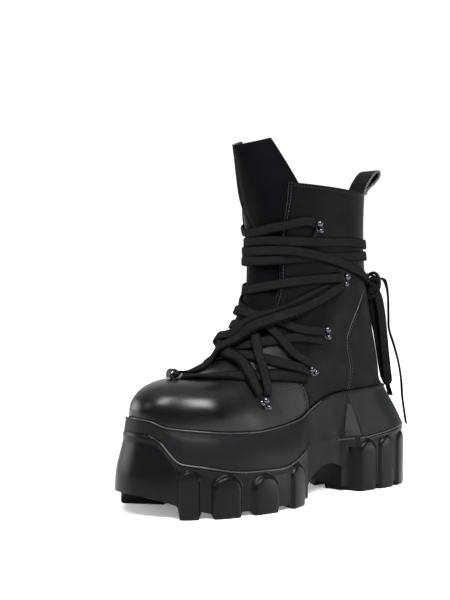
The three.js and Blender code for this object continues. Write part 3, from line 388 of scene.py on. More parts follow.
def grain(tree, shader, place, size, depth, strength=1.0, over=None):
    """Soft relief `depth` millimetres deep in grains of about `size` millimetres, over an earlier relief."""
    patch = node(tree, "ShaderNodeTexNoise", {"Scale": 1 / size, **OCTAVES}, {"Vector": place})
    links = {"Height": patch.outputs["Fac"], **({"Normal": over} if over else {})}
    relief = node(tree, "ShaderNodeBump", {"Distance": depth * MM, "Strength": strength}, links)
    normal = relief.outputs["Normal"]
    tree.links.new(normal, shader.inputs["Normal"])
    return normal


def leather(name, dark, light, rough, shiny, pore_depth, level):
    """Drum-dyed calf: fine pores and faint tumbling waves break up a satin surface.

    The pores are drawn 0.75 mm apart, coarser than a calf's own, so that they show.
    """
    material, tree, shader, place = surface(name, Metallic=0.0, Specular_IOR_Level=level)
    mottle(tree, shader, place, 26, dark, light)
    satin = polish(tree, shader, place, 11, shiny, rough)
    pores = node(tree, "ShaderNodeTexVoronoi", {"Scale": 1 / 0.75}, {"Vector": place}).outputs["Distance"]
    relief = node(tree, "ShaderNodeBump", {"Distance": pore_depth * MM, "Strength": 1.0}, {"Height": pores})
    grain(tree, shader, place, 9, 0.25, 0.5, relief.outputs["Normal"])
    return material, tree, shader, place, satin


def vamp_leather():
    """Smooth calf of the vamp, waxed and burnished to a wet gloss over the toe."""
    look = ("050506", "090909", 0.62, 0.52, 0.03, 0.21)
    material, tree, shader, place, satin = leather("vamp_calf_leather_burnished", *look)
    along = node(tree, "ShaderNodeSeparateXYZ", {}, {"Vector": place}).outputs["Y"]
    toe = node(tree, "ShaderNodeMapRange", dict(zip(SPAN, (-85, -35, 1.0, 0.0))), {"Value": along})
    links = {"Factor": toe.outputs["Result"], "A": satin}
    burnished = node(tree, "ShaderNodeMix", {"B": 0.27}, links, data_type="FLOAT")
    tree.links.new(burnished.outputs[0], shader.inputs["Roughness"])
    return material


def quarter_leather():
    """Calf of the quarters and counter, dyed and left in its own dull satin."""
    return leather("quarter_calf_leather_dyed_satin", "050506", "0a0a0b", 0.52, 0.42, 0.05, 0.04)[0]


def soft_leather():
    """Unwaxed side leather of the tongue and facings: duller, with a more open grain."""
    return leather("tongue_side_leather_tumbled", "040405", "09090a", 0.62, 0.5, 0.08, 0.015)[0]


def edge_leather(name, dark, light):
    """Cut leather edge, coloured lighter than the leather as a painted highlight: the thin light line that a
    rounded cut catches.
    """
    material, tree, shader, place = surface(name, Metallic=0.0)
    mottle(tree, shader, place, 3, dark, light)
    polish(tree, shader, place, 1.5, 0.35, 0.6)
    grain(tree, shader, place, 0.8, 0.05)
    return material


def moulded_rubber(name, dark, light, rough, shiny, level=0.1):
    """Compression-moulded rubber: even satin skin with a faint bloom and mould flow."""
    material, tree, shader, place = surface(name, Metallic=0.0, Specular_IOR_Level=level)
    mottle(tree, shader, place, 34, dark, light)
    polish(tree, shader, place, 7, shiny, rough)
    skin_grain = grain(tree, shader, place, 0.6, 0.025)
    grain(tree, shader, place, 14, 0.12, 0.4, skin_grain)
    return material


def woven_cotton():
    """Flat braided cotton lace: diagonal ribs along the length, edges darkened as painted shade, soft fuzz, no
    shine.

    The ribs are drawn about 2 mm apart, coarser than the braid's own, so that they show.
    """
    name = "lace_cotton_braided_flat"
    material, tree, shader, _ = surface(name, Metallic=0.0, Roughness=0.88, Specular_IOR_Level=0.03)
    along = node(tree, "ShaderNodeAttribute", attribute_name="lace_place").outputs["Vector"]
    colour = mottle(tree, shader, along, 4, "0c0c0d", "171718")
    across = node(tree, "ShaderNodeSeparateXYZ", {}, {"Vector": along}).outputs["Y"]
    off = node(tree, "ShaderNodeMath", {}, {0: across}, operation="ABSOLUTE").outputs[0]
    # The colour darkens over the outer part of each side of the lace: painted shade on its rounded edges.
    edge = dict(zip(SPAN, (LACE_WIDTH * 0.36, LACE_WIDTH * 0.5, 0.0, 1.0)))
    links = {"Factor": node(tree, "ShaderNodeMapRange", edge, {"Value": off}).outputs["Result"], "A": colour}
    dark = node(tree, "ShaderNodeMix", {"B": linear("050505")}, links, data_type="RGBA")
    tree.links.new(dark.outputs[2], shader.inputs["Base Color"])
    wave = {"Scale": 0.3, "Distortion": 0.4, "Detail": 1.0}
    ribs = node(tree, "ShaderNodeTexWave", wave, {"Vector": along}, bands_direction="DIAGONAL").outputs["Fac"]
    braid = node(tree, "ShaderNodeBump", {"Distance": 0.22 * MM, "Strength": 1.0}, {"Height": ribs})
    grain(tree, shader, along, 0.5, 0.12, 0.8, braid.outputs["Normal"])
    return material


def plated(name, colour, rubbed, rough, shiny):
    """Plated zinc: a polished metal skin with rubbed edges and hairline wear."""
    material, tree, shader, place = surface(name, Metallic=1.0)
    mottle(tree, shader, place, 2, colour, rubbed)
    polish(tree, shader, place, 3, shiny, rough)
    grain(tree, shader, place, 2, 0.006)
    return material


def lining_cloth():
    """Woven sock lining: a matte check of threads, drawn 1.1 mm wide so that it shows."""
    material, tree, shader, place = surface("insole_cotton_woven", Metallic=0.0, Roughness=0.9)
    mottle(tree, shader, place, 12, "232324", "303031")
    checks = node(tree, "ShaderNodeTexChecker", {"Scale": 0.9}, {"Vector": place}).outputs["Fac"]
    threads = node(tree, "ShaderNodeBump", {"Distance": 0.12 * MM, "Strength": 1.0}, {"Height": checks})
    tree.links.new(threads.outputs["Normal"], shader.inputs["Normal"])
    return material


VAMP_LEATHER = vamp_leather()
UPPER_LEATHER = quarter_leather()
SOFT_LEATHER = soft_leather()
# Cut edges are coloured lighter than their leather as a painted highlight.
EDGE_LEATHER = edge_leather("leather_edge_painted_highlight", "272728", "3e3e3f")
STRAP_EDGE = edge_leather("strap_edge_painted_highlight", "202021", "313132")
MIDSOLE_RUBBER = moulded_rubber("midsole_rubber_moulded_satin", "0e0e0f", "151516", 0.46, 0.38, 0.05)
TREAD_RUBBER = moulded_rubber("outsole_rubber_moulded_matte", "060607", "0b0b0c", 0.34, 0.28, 0.08)
# The heel facet's rubber is lighter than the midsole's as a painted highlight.
FACET_RUBBER = moulded_rubber("heel_facet_rubber_painted_highlight", "151516", "1d1d1e", 0.36, 0.28, 0.2)
# The edge beads' rubber is lighter than the midsole's as a painted highlight, the light line that a rounded
# edge catches.
EDGE_RUBBER = moulded_rubber("sole_edge_rubber_painted_highlight", "1e1e1f", "29292a", 0.36, 0.26, 0.4)
LACE_COTTON = woven_cotton()
WORN_NICKEL = plated("toe_loop_black_nickel_brushed", "1a1a1c", "2c2c2e", 0.42, 0.32)
BLACK_NICKEL = plated("lace_hardware_black_nickel_polished", "3f3f42", "4d4d50", 0.32, 0.22)
ZIP_NICKEL = plated("zip_nickel_satin", "9a9a9e", "b6b6ba", 0.36, 0.24)
# Each line gives two colours, the rough and the shiny end of the roughness, and the specular level.
# Waxed thread and woven tape have the rubber's even grain: pale dashes on the seams, and a dull black
# strip under the zip's teeth.
STITCH_THREAD = moulded_rubber("stitching_polyester_thread_waxed", "242425", "333334", 0.7, 0.55)
ZIP_TAPE = moulded_rubber("zip_tape_polyester_woven", "101011", "161617", 0.9, 0.8)
INSOLE_CLOTH = lining_cloth()


# ------------------------------------------------------------------ meshes
def add_mesh(name, points, faces, material, smooth=True, place=None):
    """A piece that rides on the boot, from points in millimetres."""
    mesh = bpy.data.meshes.new(name)
    mesh.from_pydata((np.asarray(points) * MM).tolist(), [], np.asarray(faces).tolist())
    mesh.polygons.foreach_set("use_smooth", [smooth] * len(mesh.polygons))
    mesh.materials.append(material)
    if place is not None:
        layer = mesh.attributes.new("lace_place", "FLOAT_VECTOR", "POINT")
        layer.data.foreach_set("vector", np.asarray(place, np.float32).ravel())
    mesh.validate()
    obj = bpy.data.objects.new(name, mesh)
    bpy.context.scene.collection.objects.link(obj)
    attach(obj, "boot")
    return obj


def merge(parts):
    """One list of points and faces out of many."""
    points, faces, start = [], [], 0
    for part_points, part_faces in parts:
        points.append(part_points)
        faces.append(np.asarray(part_faces) + start)
        start += len(part_points)
    return np.vstack(points), np.vstack(faces)


def add_bevel(obj, width):
    """Rounds a carried-over piece's hard edges, so that they catch a line of light."""
    bevel = obj.modifiers.new("bevel", "BEVEL")
    bevel.width, bevel.segments, bevel.limit_method = width * MM, 2, "ANGLE"
    bevel.angle_limit = math.radians(35)


def thicken(obj, thickness, rim):
    """Gives a shell its thickness inwards, with a material of its own on the cut edge."""
    solid = obj.modifiers.new("thickness", "SOLIDIFY")
    solid.thickness, solid.offset = thickness * MM, -1
    obj.data.materials.append(rim)
    solid.material_offset_rim = 1


def line_distance(line, y, z):
    """Distance to an open side-view line of [y, z] corners."""
    nearest = np.full(np.shape(y), 1e9)
    for (ay, az), (by, bz) in zip(line[:-1], line[1:]):
        ey, ez = by - ay, bz - az
        s = np.clip(((y - ay) * ey + (z - az) * ez) / (ey * ey + ez * ez), 0, 1)
        nearest = np.minimum(nearest, np.hypot(y - ay - s * ey, z - az - s * ez))
    return nearest


def polygon_distance(outline, y, z):
    """Distance to a side-view outline of [y, z] corners, positive inside it."""
    line = np.array(outline + outline[:1], float)
    inside = np.zeros(y.shape, bool)
    for (ay, az), (by, bz) in zip(line[:-1], line[1:]):
        crosses = (az > z) != (bz > z)
        with np.errstate(divide="ignore", invalid="ignore"):
            inside ^= crosses & (y < ay + (z - az) / (bz - az) * (by - ay))
    nearest = line_distance(line, y, z)
    return np.where(inside, nearest, -nearest)


EDGE_STEPS = 4


def cut_panel(inside, cell, turns=(0, 2), across=(-1, 1), lift=0.0):
    """The part of the form's face where inside(points) is positive, with its edge moved onto zero."""
    rows = int(abs(turns[1] - turns[0]) * TURN_LENGTH / cell) + 2
    columns = int(abs(across[1] - across[0]) * HALF_LENGTH / cell) + 2
    t = np.linspace(*turns, rows)[:, None] + np.zeros((1, columns))
    a = np.linspace(*across, columns)[None, :] + np.zeros((rows, 1))
    value = inside(skin.at(t, a))
    kept = (value[1:, 1:] + value[:-1, 1:] + value[1:, :-1] + value[:-1, :-1]) > 0
    touches_kept = np.zeros(value.shape, bool)
    touches_cut = np.zeros(value.shape, bool)
    for i in (slice(0, -1), slice(1, None)):
        for j in (slice(0, -1), slice(1, None)):
            touches_kept[i, j] |= kept
            touches_cut[i, j] |= ~kept
    edge = touches_kept & touches_cut
    te, ae = t[edge], a[edge]
    step_t, step_a = (turns[1] - turns[0]) / rows, (across[1] - across[0]) / columns
    for _ in range(EDGE_STEPS):
        here = inside(skin.at(te, ae))
        by_t = (inside(skin.at(te + step_t / 2, ae)) - here) / (step_t / 2)
        by_a = (inside(skin.at(te, ae + step_a / 2)) - here) / (step_a / 2)
        slope = (by_t * step_t) ** 2 + (by_a * step_a) ** 2 + 1e-9
        move = np.clip(-here / slope, -0.7 / np.sqrt(slope), 0.7 / np.sqrt(slope))
        te = np.clip(te + move * by_t * step_t**2, *sorted(turns))
        ae = np.clip(ae + move * by_a * step_a**2, *sorted(across))
    t[edge], a[edge] = te, ae
    points = skin.at(t, a) + skin.out(t, a) * lift
    faces = grid_faces(rows, columns)[kept.ravel()]
    used = np.unique(faces)
    index = np.full(points.shape[0] * points.shape[1], -1)
    index[used] = np.arange(len(used))
    return points.reshape(-1, 3)[used], index[faces]


# ------------------------------------------------------------------ upper
THROAT_CORNER = [-1.4, 273.5]
THROAT_LINE = [
    [-49, 122], [-42, 124], [-33, 130], [-24, 140], [-16, 153], [-9, 169], [-4, 187], [-3.5, 208],
    [-4.5, 232], THROAT_CORNER,
]
COLLAR_LINE = [THROAT_CORNER, [108, 265.5], [150, 264]]
UPPER_SIDE = [[-170, 40], [-170, 150], [-52, 150]] + THROAT_LINE + COLLAR_LINE[1:] + [[150, 40]]
TONGUE_SIDE = [
    [-15, 311.5], [8, 273], [15, 245], [14, 215], [10, 190], [3, 165], [-8, 145], [-24, 128], [-45, 112],
    [-66, 102], [-66, 135], [-55, 300], [-38.5, 305],
]
ZIP_LINE = [[53, 275], [55, 245], [55.5, 215], [54.5, 195], [51, 175], [44, 152], [35, 128], [27, 108]]
ZIP_SLOT = 6.6

# Soft folds pressed into the leather, as [y, z] lines on the sides: depth and width in mm.
FOLDS = [
    {"line": [[-30, 118], [-8, 122], [14, 134]], "depth": 0.9, "width": 5},
    {"line": [[-40, 108], [-14, 110], [10, 120]], "depth": -0.5, "width": 5},
    {"line": [[-14, 138], [8, 146], [30, 160]], "depth": 0.8, "width": 6},
    {"line": [[-2, 158], [20, 168], [44, 178]], "depth": 0.7, "width": 7},
    {"line": [[12, 128], [34, 142], [52, 160]], "depth": -0.5, "width": 8},
    {"line": [[70, 200], [84, 190], [98, 187]], "depth": 0.7, "width": 6},
    {"line": [[66, 222], [82, 216], [99, 214]], "depth": 0.5, "width": 6},
    {"line": [[20, 96], [40, 112], [52, 130]], "depth": 0.5, "width": 7},
    {"line": [[10, 250], [40, 246], [80, 250]], "depth": 0.4, "width": 14},
]


# The folds die out between these distances from the front's middle.
FRONT_STRIP = (10, 24)


def press_folds(points):
    """Moves the points of the leather inwards by the folds; the front strip stays as it is."""
    off = points[:, 0] - THROAT_CENTRE
    depth = 0
    for fold in FOLDS:
        reach = line_distance(fold["line"], points[:, 1], points[:, 2]) / fold["width"]
        depth = depth + fold["depth"] * np.exp(-reach * reach)
    points = points.copy()
    points[:, 0] -= np.sign(off) * depth * smoothstep(np.abs(off), *FRONT_STRIP)
    return points


# Each inside_... function is positive on a panel, negative off it and 0 on its edge.
def inside_side(outline):
    return lambda points: polygon_distance(outline, points[..., 1], points[..., 2])


def inside_upper(points):
    value = inside_side(UPPER_SIDE)(points)
    slot = line_distance(ZIP_LINE, points[..., 1], points[..., 2]) - ZIP_SLOT / 2
    return np.where(points[..., 0] < THROAT_CENTRE, np.minimum(value, slot), value)


VAMP_SEAM = [[-52, 119], [-38, 107], [-23, 99.5], [-8, 100], [4, 102.5], [11, 93], [17.6, 78]]
# The vamp's leather runs on under the laces as far as the throat.
VAMP_PANEL = [[-170, 145], [-8, 145], [-3, 122], [3.5, 104]] + VAMP_SEAM[4:] + [[17.6, 40], [-170, 40]]


def inside_vamp(points):
    return np.minimum(inside_upper(points), inside_side(VAMP_PANEL)(points))


def inside_quarter(points):
    return np.minimum(inside_upper(points), -inside_side(VAMP_PANEL)(points))


shells = []
for name, inside, turns, lift, material in (
    ("vamp_shell", inside_vamp, (0, 1.1), 0, VAMP_LEATHER),
    ("quarter_shell", inside_quarter, (0.3, 2), 0.45, UPPER_LEATHER),
):
    points, faces = cut_panel(inside, 1.75, turns, lift=lift)
    points = press_folds(points)
    shells.append((points, faces))
    shell = add_mesh(name, points, faces, material)
    thicken(shell, WALL + lift, EDGE_LEATHER)
    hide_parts("upper")
upper_points, upper_faces = merge(shells)

# Creases of the tongue, as [x, y, z] lines: depth and width in mm.
TONGUE_CREASES = [
    {"line": [[-6, -31, 293], [-9.5, -22.5, 264], [-9.8, -17, 247], [-4, -14.8, 235]],
     "depth": 1.3, "width": 4},
    {"line": [[9, -26, 287], [12, -20, 268], [11, -14, 250], [6, -12, 238]], "depth": -0.9, "width": 7},
    {"line": [[-24, -18, 290], [-22, -12, 262], [-16, -12, 240]], "depth": 0.9, "width": 6},
]


def press_creases(points):
    """Soft troughs, or ridges where the depth is negative, pressed into the tongue along its creases."""
    points = points.copy()
    inward = unit(np.array([THROAT_CENTRE, 20, 0]) - points * [1, 1, 0])
    for crease in TONGUE_CREASES:
        line = resample(spline(crease["line"]), 2.0)
        reach = np.min(np.linalg.norm(points[:, None] - line[None], axis=2), axis=1) / crease["width"]
        points += inward * (crease["depth"] * np.exp(-reach * reach))[:, None]
    return points


tongue_points, tongue_faces = cut_panel(inside_side(TONGUE_SIDE), 1.9, (0.3, 2), (-0.62, 0.62), -TONGUE_DEPTH)
tongue_points = press_creases(tongue_points)
tongue = add_mesh("tongue_shell", tongue_points, tongue_faces, SOFT_LEATHER)
thicken(tongue, TONGUE_WALL, EDGE_LEATHER)
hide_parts("tongue")

PANEL_THICKNESS = 0.9
FACING_WIDTH = 3.6
STAY = {"half_width": 8, "low": 183, "high": 265.5, "front": 80}
COUNTER_EDGE = [
    [64, 80], [64.2, 94], [64.6, 102], [65, 110], [63.6, 118.5], [61, 128], [61.6, 139], [66, 149.5],
    [72.5, 160], [78, 168], [84, 176], [92, 182],
]


def offset_line(line, distance):
    """A side-view line moved towards the heel."""
    line = np.array(line, float)
    along = unit(np.gradient(line, axis=0))
    return line + np.stack([along[:, 1], -along[:, 0]], axis=1) * distance


def strip_outline(line, width):
    """A strip of the given width on the heel side of a line."""
    return line + offset_line(line, width)[::-1].tolist()


def inside_facing(points):
    strip = inside_side(strip_outline(THROAT_LINE, FACING_WIDTH))(points)
    return np.minimum(strip, inside_side(UPPER_SIDE)(points))


def inside_stay(points):
    half = STAY["half_width"] - np.abs(points[..., 0] - centre_line(1.0))
    ends = np.minimum(points[..., 2] - STAY["low"], STAY["high"] - points[..., 2])
    return np.minimum(np.where(points[..., 1] > STAY["front"], half, -9), ends)


panels = []
inside_counter = inside_side(COUNTER_EDGE + [[150, 182], [150, 40], [64, 40]])
for name, inside, turns, cell, material, rim, thickness in (
    ("lace_facing", inside_facing, (0.3, 2), 1.5, SOFT_LEATHER, SOFT_LEATHER, 1.1),
    ("heel_counter", inside_counter, (0.5, 1.75), 1.8, UPPER_LEATHER, EDGE_LEATHER, PANEL_THICKNESS),
):
    points, faces = merge(cut_panel(inside, cell, turns, half, thickness) for half in ((-1, -0.04), (0.04, 1)))
    points = press_folds(points)
    panels.append((points, faces))
    panel = add_mesh(name, points, faces, material)
    thicken(panel, thickness + 0.15, rim)
points, faces = merge(cut_panel(inside_stay, 1.2, (1.2, 2), half, 1.4) for half in ((-1, -0.8), (0.8, 1)))
stay = add_mesh("back_stay", points, faces, VAMP_LEATHER)
thicken(stay, 1.5, EDGE_LEATHER)


# ------------------------------------------------------------------ bands, laces and other sweeps
def lace_section(width, thickness):
    """Section of a flat lace: a rectangle with well rounded corners."""
    return signed_power(circle(12), 2 / 3.2) * [width / 2, thickness / 2]


def sweep(line, across, out, section, closed=False):
    """A tube of the section along the line; across and out are the section's own directions."""
    rings = line[:, None] + across[:, None] * section[None, :, :1] + out[:, None] * section[None, :, 1:]
    rows, corners = rings.shape[:2]
    faces = grid_faces(rows, corners, wrap=True)
    points = rings.reshape(-1, 3)
    if closed:
        last = (rows - 1) * corners
        joint = [[last + k, last + (k + 1) % corners, (k + 1) % corners, k] for k in range(corners)]
        return points, np.vstack([faces, joint])
    start, end = len(points), len(points) + 1
    last = (rows - 1) * corners
    caps = []
    for k in range(0, corners, 2):
        k1, k2 = (k + 1) % corners, (k + 2) % corners
        caps.append([start, k2, k1, k])
        caps.append([end, last + k, last + k1, last + k2])
    return np.vstack([points, line[:1], line[-1:]]), np.vstack([faces, caps])


def flat_lace(line, hint, width, thickness):
    """A flat lace along a line, about square to the hint, with its places for the weave."""
    along = unit(np.gradient(line, axis=0))
    across = unit(np.cross(hint, along))
    section = lace_section(width, thickness)
    return *sweep(line, across, unit(np.cross(along, across)), section), lace_places(line, section)


def round_rod(line, hint, radius, corners):
    """A round rod along a line; hint is a direction that the line never takes."""
    along = unit(np.gradient(line, axis=0))
    across = unit(np.cross(hint, along))
    return sweep(line, across, np.cross(along, across), radius * circle(corners))


def lace_places(line, section, caps=True):
    """For each point of a swept lace: its place along and across the lace, for the weave."""
    lengths = line_lengths(line)
    places = np.zeros((len(line), len(section), 3))
    places[..., 0] = lengths[:, None]
    places[..., 1:] = section[None]
    places = places.reshape(-1, 3)
    if caps:
        places = np.vstack([places, [[0, 0, 0], [lengths[-1], 0, 0]]])
    return places


LACE_RINGS = {
    OUTER: [[25, 237.5], [57, 191.5], [36, 145], [15, 112.5], [-40, 88.5]],
    INNER: [[19, 244], [38, 197], [22, 148], [11, 117], [-40, 89.5]],
}
obstacles = [tree_of(upper_points, upper_faces), tree_of(tongue_points, tongue_faces)]
obstacles += [tree_of(*panel) for panel in panels]
LACE_REACH = 14
LACE_STEP = 2.0
LACE_TUCK = 0.6
MM_PER_DEGREE = [0.75, 1]  # size of a step round the shaft and of one up it, in mm
# The taut laces' small unevenness: roll in radians and sway in mm, and the lengths in mm they go by.
LACE_ROLL, LACE_ROLL_RUN = (0.11, 0.07), (9, 4.1)
LACE_SWAY, LACE_SWAY_RUN = 0.35, 11


def height_over(spot, out):
    """How far the highest piece laid so far stands above a place of the form."""
    start = Vector(spot + out * LACE_REACH)
    best = -TONGUE_DEPTH
    for tree in obstacles:
        hit, _, _, distance = tree.ray_cast(start, Vector(-out), LACE_REACH + 6)
        if hit is not None:
            best = max(best, LACE_REACH - distance)
    return best


def tighten(values, floor, rounds):
    """A taut lace: each place rests on what lies under it or spans between its neighbours."""
    for _ in range(rounds):
        around = (np.roll(values, 1) + np.roll(values, -1)) / 2
        around[0], around[-1] = values[0], values[-1]
        values = np.maximum(floor, around)
    return values


def even(values, rounds):
    """Evens out the steps from each place to the next."""
    for _ in range(rounds):
        padded = np.concatenate([values[:1], values, values[-1:]])
        values = (padded[:-2] + 2 * padded[1:-1] + padded[2:]) / 4
    return values


def wrap_spots(route):
    """Places round the shaft along a route of [degrees round, height] knots."""
    dense = resample(spline(route) * MM_PER_DEGREE, LACE_STEP) / MM_PER_DEGREE
    return [wrap_spot(degrees, z) for degrees, z in dense]


def lay_lace(spots, width=LACE_WIDTH, rounds=14, tuck=(0, 0)):
    """A flat lace laid tight over the boot; tuck sinks its two ends."""
    line = even(np.array([spot for spot, _ in spots]), 2)
    out = unit(even(np.array([normal for _, normal in spots]), 8))
    along = unit(np.gradient(line, axis=0))
    across = unit(np.cross(out, along))
    out = unit(np.cross(along, across))
    floor = np.array([
        max(height_over(p + c * width * k, n) for k in (-0.42, -0.2, 0, 0.2, 0.42))
        for p, n, c in zip(line, out, across)
    ])
    lift = even(tighten(floor.copy(), floor, rounds), 2) + LACE_THICKNESS / 2 + 0.1
    lift[0] -= tuck[0]
    lift[-1] -= tuck[1]
    centre = line + out * lift[:, None]
    section = lace_section((LACE_WIDTH + 0.4) * width / LACE_WIDTH, LACE_THICKNESS)
    length = line_lengths(centre)
    number = len(obstacles)
    roll = sum(
        size * np.sin(length / run + shift * number)
        for size, run, shift in zip(LACE_ROLL, LACE_ROLL_RUN, (1, 2))
    )[:, None]
    centre = centre + across * (LACE_SWAY * np.sin(length / LACE_SWAY_RUN + 3 * number))[:, None]
    points, faces = sweep(centre, across + out * roll, out - across * roll, section)
    obstacles.append(tree_of(points, faces))
    return points, faces, lace_places(centre, section)


# Each crossing lace: the outer ring with the lace's offset there [ring, y, z], the places it passes over
# the boot as [x, y, z], and the inner ring with its offset; a lace without one ends in the toe loop. They
# are laid in this order, so the later ones lie on top.
CROSSINGS = [
    {"outer": [4, -3, -6], "over": [[37, -24, 110], [30, -52, 110.5], [16, -78, 111.5], [2, -94, 109]],
     "inner": None, "width": 11},
    {"outer": [3, -3, -8],
     "over": [[34, 4, 140], [28, -22, 138.5], [18, -35, 136], [-4, -42, 133], [-30, -18, 125]],
     "inner": [4, -2, 4]},
    {"outer": [3, -3, -1],
     "over": [[35, 9, 148], [31, -2, 152], [18, -24, 160], [-4, -28, 166], [-29, -2, 175]],
     "inner": [2, -2, -3]},
    {"outer": [4, -2, -1],
     "over": [[37, -14, 119], [28, -33, 125.5], [14, -44, 127], [-4, -50, 123], [-28, -44, 106]],
     "inner": [5, 0, 5]},
    {"outer": [4, -2, 3],
     "over": [[36, -4, 130], [26, -18, 148], [16, -24, 158], [-4, -27, 163], [-29, -2, 158]],
     "inner": [3, -2, 4]},
    {"outer": [5, -2, 5],
     "over": [[37, -46, 105], [23, -46, 119], [8, -48, 127], [-10, -44, 131], [-28, -18, 139]],
     "inner": [3, -3, -3], "width": 10.5},
    {"outer": [5, 4, 4],
     "over": [[37, -33, 110], [28, -32, 126], [16, -30, 148], [-4, -32, 152], [-28, -12, 148]],
     "inner": [3, -2, 0]},
    {"outer": [2, -4, -3],
     "over": [[34, 22, 176], [25, -4, 164], [13, -28, 155], [-4, -36, 144], [-28, -22, 128]],
     "inner": [4, -3, 1]},
    {"outer": [2, -3, -6],
     "over": [[33, 20, 169], [24, -14, 155], [15, -29, 148], [4, -42, 138], [-5, -52, 124],
                                    [-9, -68, 114.5], [-7, -84, 110.5], [-4, -97, 109]],
     "inner": None, "width": 11},
    {"outer": [2, -3, 1],
     "over": [[34, 24, 190], [24, -5, 187], [4, -23, 182.5], [-20, -14, 180], [-34, 10, 186]],
     "inner": [2, -2, 1]},
    {"outer": [1, 1, -6],
     "over": [[37, 22, 224], [27, -4, 216], [4, -19, 212], [-22, -8, 208], [-34, 16, 202]],
     "inner": [2, -2, 5]},
    {"outer": [1, -2, 1],
     "over": [[38, 14, 240.5], [27, -5, 236], [0, -18, 230.5], [-22, -9, 232], [-34, 6, 238]],
     "inner": [1, -2, 0]},
]
# Laces wound round the shaft as [degrees round, height], from the inner side by the front to the back.
WRAPS = [
    [[-262, 219], [-180, 221], [-90, 223], [-55, 223.5], [0, 222.5], [50, 222], [98, 220]],
    [[-262, 206], [-180, 206], [-120, 206], [-83, 206], [-60, 208], [-20, 209.5], [50, 210.5], [98, 210]],
    [[-245, 194], [-200, 203], [-150, 212], [-90, 214.5], [-56, 215], [-24, 210.5], [15, 203], [50, 195],
     [76, 188]],
]


def skin_spot(place):
    """The place of the form's face nearest to a point, with its outward direction."""
    spot, normal, _, _ = skin_tree.find_nearest(Vector(place))
    normal = np.array(normal)
    if normal @ (np.array(spot) - [THROAT_CENTRE, 20, np.clip(spot[2], 60, 300) - 20]) < 0:
        normal = -normal
    return np.array(spot), normal


def ring_spot(side, number, dy, dz):
    """A place on the form by its offset from a lace ring."""
    y, z = LACE_RINGS[side][number - 1]
    return side_spot(side, y + dy, z + dz)[0]


def crossing_spots(row):
    """Places of a crossing lace on the form, from ring to ring."""
    knots = [ring_spot(OUTER, *row["outer"])] + [skin_spot(place)[0] for place in row["over"]]
    if row["inner"]:
        knots.append(ring_spot(INNER, *row["inner"]))
    return [skin_spot(place) for place in resample(spline(knots), LACE_STEP)]


def add_laces(name, laces):
    """One piece out of laces given as points, faces and places for the weave."""
    points, faces = merge(lace[:2] for lace in laces)
    return add_mesh(name, points, faces, LACE_COTTON, place=np.vstack([lace[2] for lace in laces]))


laid = []
for row in CROSSINGS:
    tuck = (LACE_TUCK, LACE_TUCK if row["inner"] else 0.0)
    laid.append(lay_lace(crossing_spots(row), row.get("width", LACE_WIDTH), tuck=tuck))
for route in WRAPS:
    laid.append(lay_lace(wrap_spots(route), rounds=10))
lattice = add_laces("lace_crossings", laid)
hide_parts("lace_lattice")


# ------------------------------------------------------------------ hardware
def frame_at(out):
    """Across, up and out directions of a piece that stands on the boot's face."""
    across = unit(np.cross([0, 0, 1], out))
    return np.stack([across, np.cross(out, across), out], axis=1)


def lathe(profile, segments=24):
    """A turned piece, from its [radius, height] profile."""
    profile = np.array(profile, float)
    points = np.concatenate([
        profile[:, None, :1] * circle(segments)[None],
        np.repeat(profile[:, None, 1:], segments, axis=1),
    ], axis=2)
    return points.reshape(-1, 3), grid_faces(len(profile), segments, wrap=True)


def ball(radius, centre, squash):
    """A ball, squashed along its axis."""
    height = np.linspace(-np.pi / 2 + 0.05, np.pi / 2 - 0.05, 14)
    points, faces = lathe(np.stack([radius * np.cos(height), radius * squash * np.sin(height)], axis=1), 20)
    return points + np.array(centre), faces


# How far each ring is turned on its rivet, in degrees, from the collar down.
RING_TURNS = [12, -10, 8, 58, 14]
RING_EYE = [
    [1.4, 0.2, 2.4], [2.6, -2.4, 2.8], [2.2, -5.4, 2.8], [0, -6.8, 2.6], [-2.2, -5.4, 2.8], [-2.6, -2.4, 2.8],
    [-1.4, 0.2, 2.4],
]


def lace_ring(side, number):
    """A ball-headed rivet with a wire eye under it, closed by a smaller ball."""
    y, z = LACE_RINGS[side][number - 1]
    spot, out = side_spot(side, y, z)
    points, faces = merge([
        lathe([[0.01, 0.3], [3.0, 0.3], [3.0, 0.8], [1.4, 1.5], [1.2, 2.6]]),
        ball(3.1, (0, 0.9, 4.2), 0.9),
        round_rod(resample(spline(RING_EYE, 12), 0.5), [0.13, 0.29, 0.95], 0.7, 10),
        ball(2.5, (0.6, -5.4, 3.6), 0.9),
    ])
    turned = np.array(Matrix.Rotation(math.radians(side * RING_TURNS[number - 1]), 3, "Z"))
    return points @ turned.T @ frame_at(out).T + spot, faces


for side, label in ((OUTER, "lateral"), (INNER, "medial")):
    for number in range(1, 6):
        points, faces = lace_ring(side, number)
        ring = add_mesh(f"ring_{label}_{number}", points, faces, BLACK_NICKEL)
        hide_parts(f"lace_ring_{label}_{number}")

for name, material, bevel in (
    ("zip_slider", ZIP_NICKEL, 0.5),
    ("zip_pull", ZIP_NICKEL, 0.25),
    ("toe_loop", WORN_NICKEL, 0.25),
    ("pull_loop", UPPER_LEATHER, 0.35),
    ("insole", INSOLE_CLOTH, 0.5),
    ("zip_chain", ZIP_TAPE, 0),
):
    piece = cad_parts[name]
    piece.data.materials.clear()
    piece.data.materials.append(material)
    if bevel:
        add_bevel(piece, bevel)
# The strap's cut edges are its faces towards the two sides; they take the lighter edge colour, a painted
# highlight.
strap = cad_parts["pull_loop"].data
strap.materials.append(STRAP_EDGE)
for polygon in strap.polygons:
    polygon.material_index = int(abs(polygon.normal.x) > 0.7)


# ------------------------------------------------------------------ sole
def stations(extra=()):
    """Shares of the sole's length, closer together at its round ends."""
    ends = np.array([0, 0.002, 0.006, 0.012, 0.02])
    return np.unique(np.concatenate([ends, 1 - ends, np.linspace(0.03, 0.97, 240), extra]))


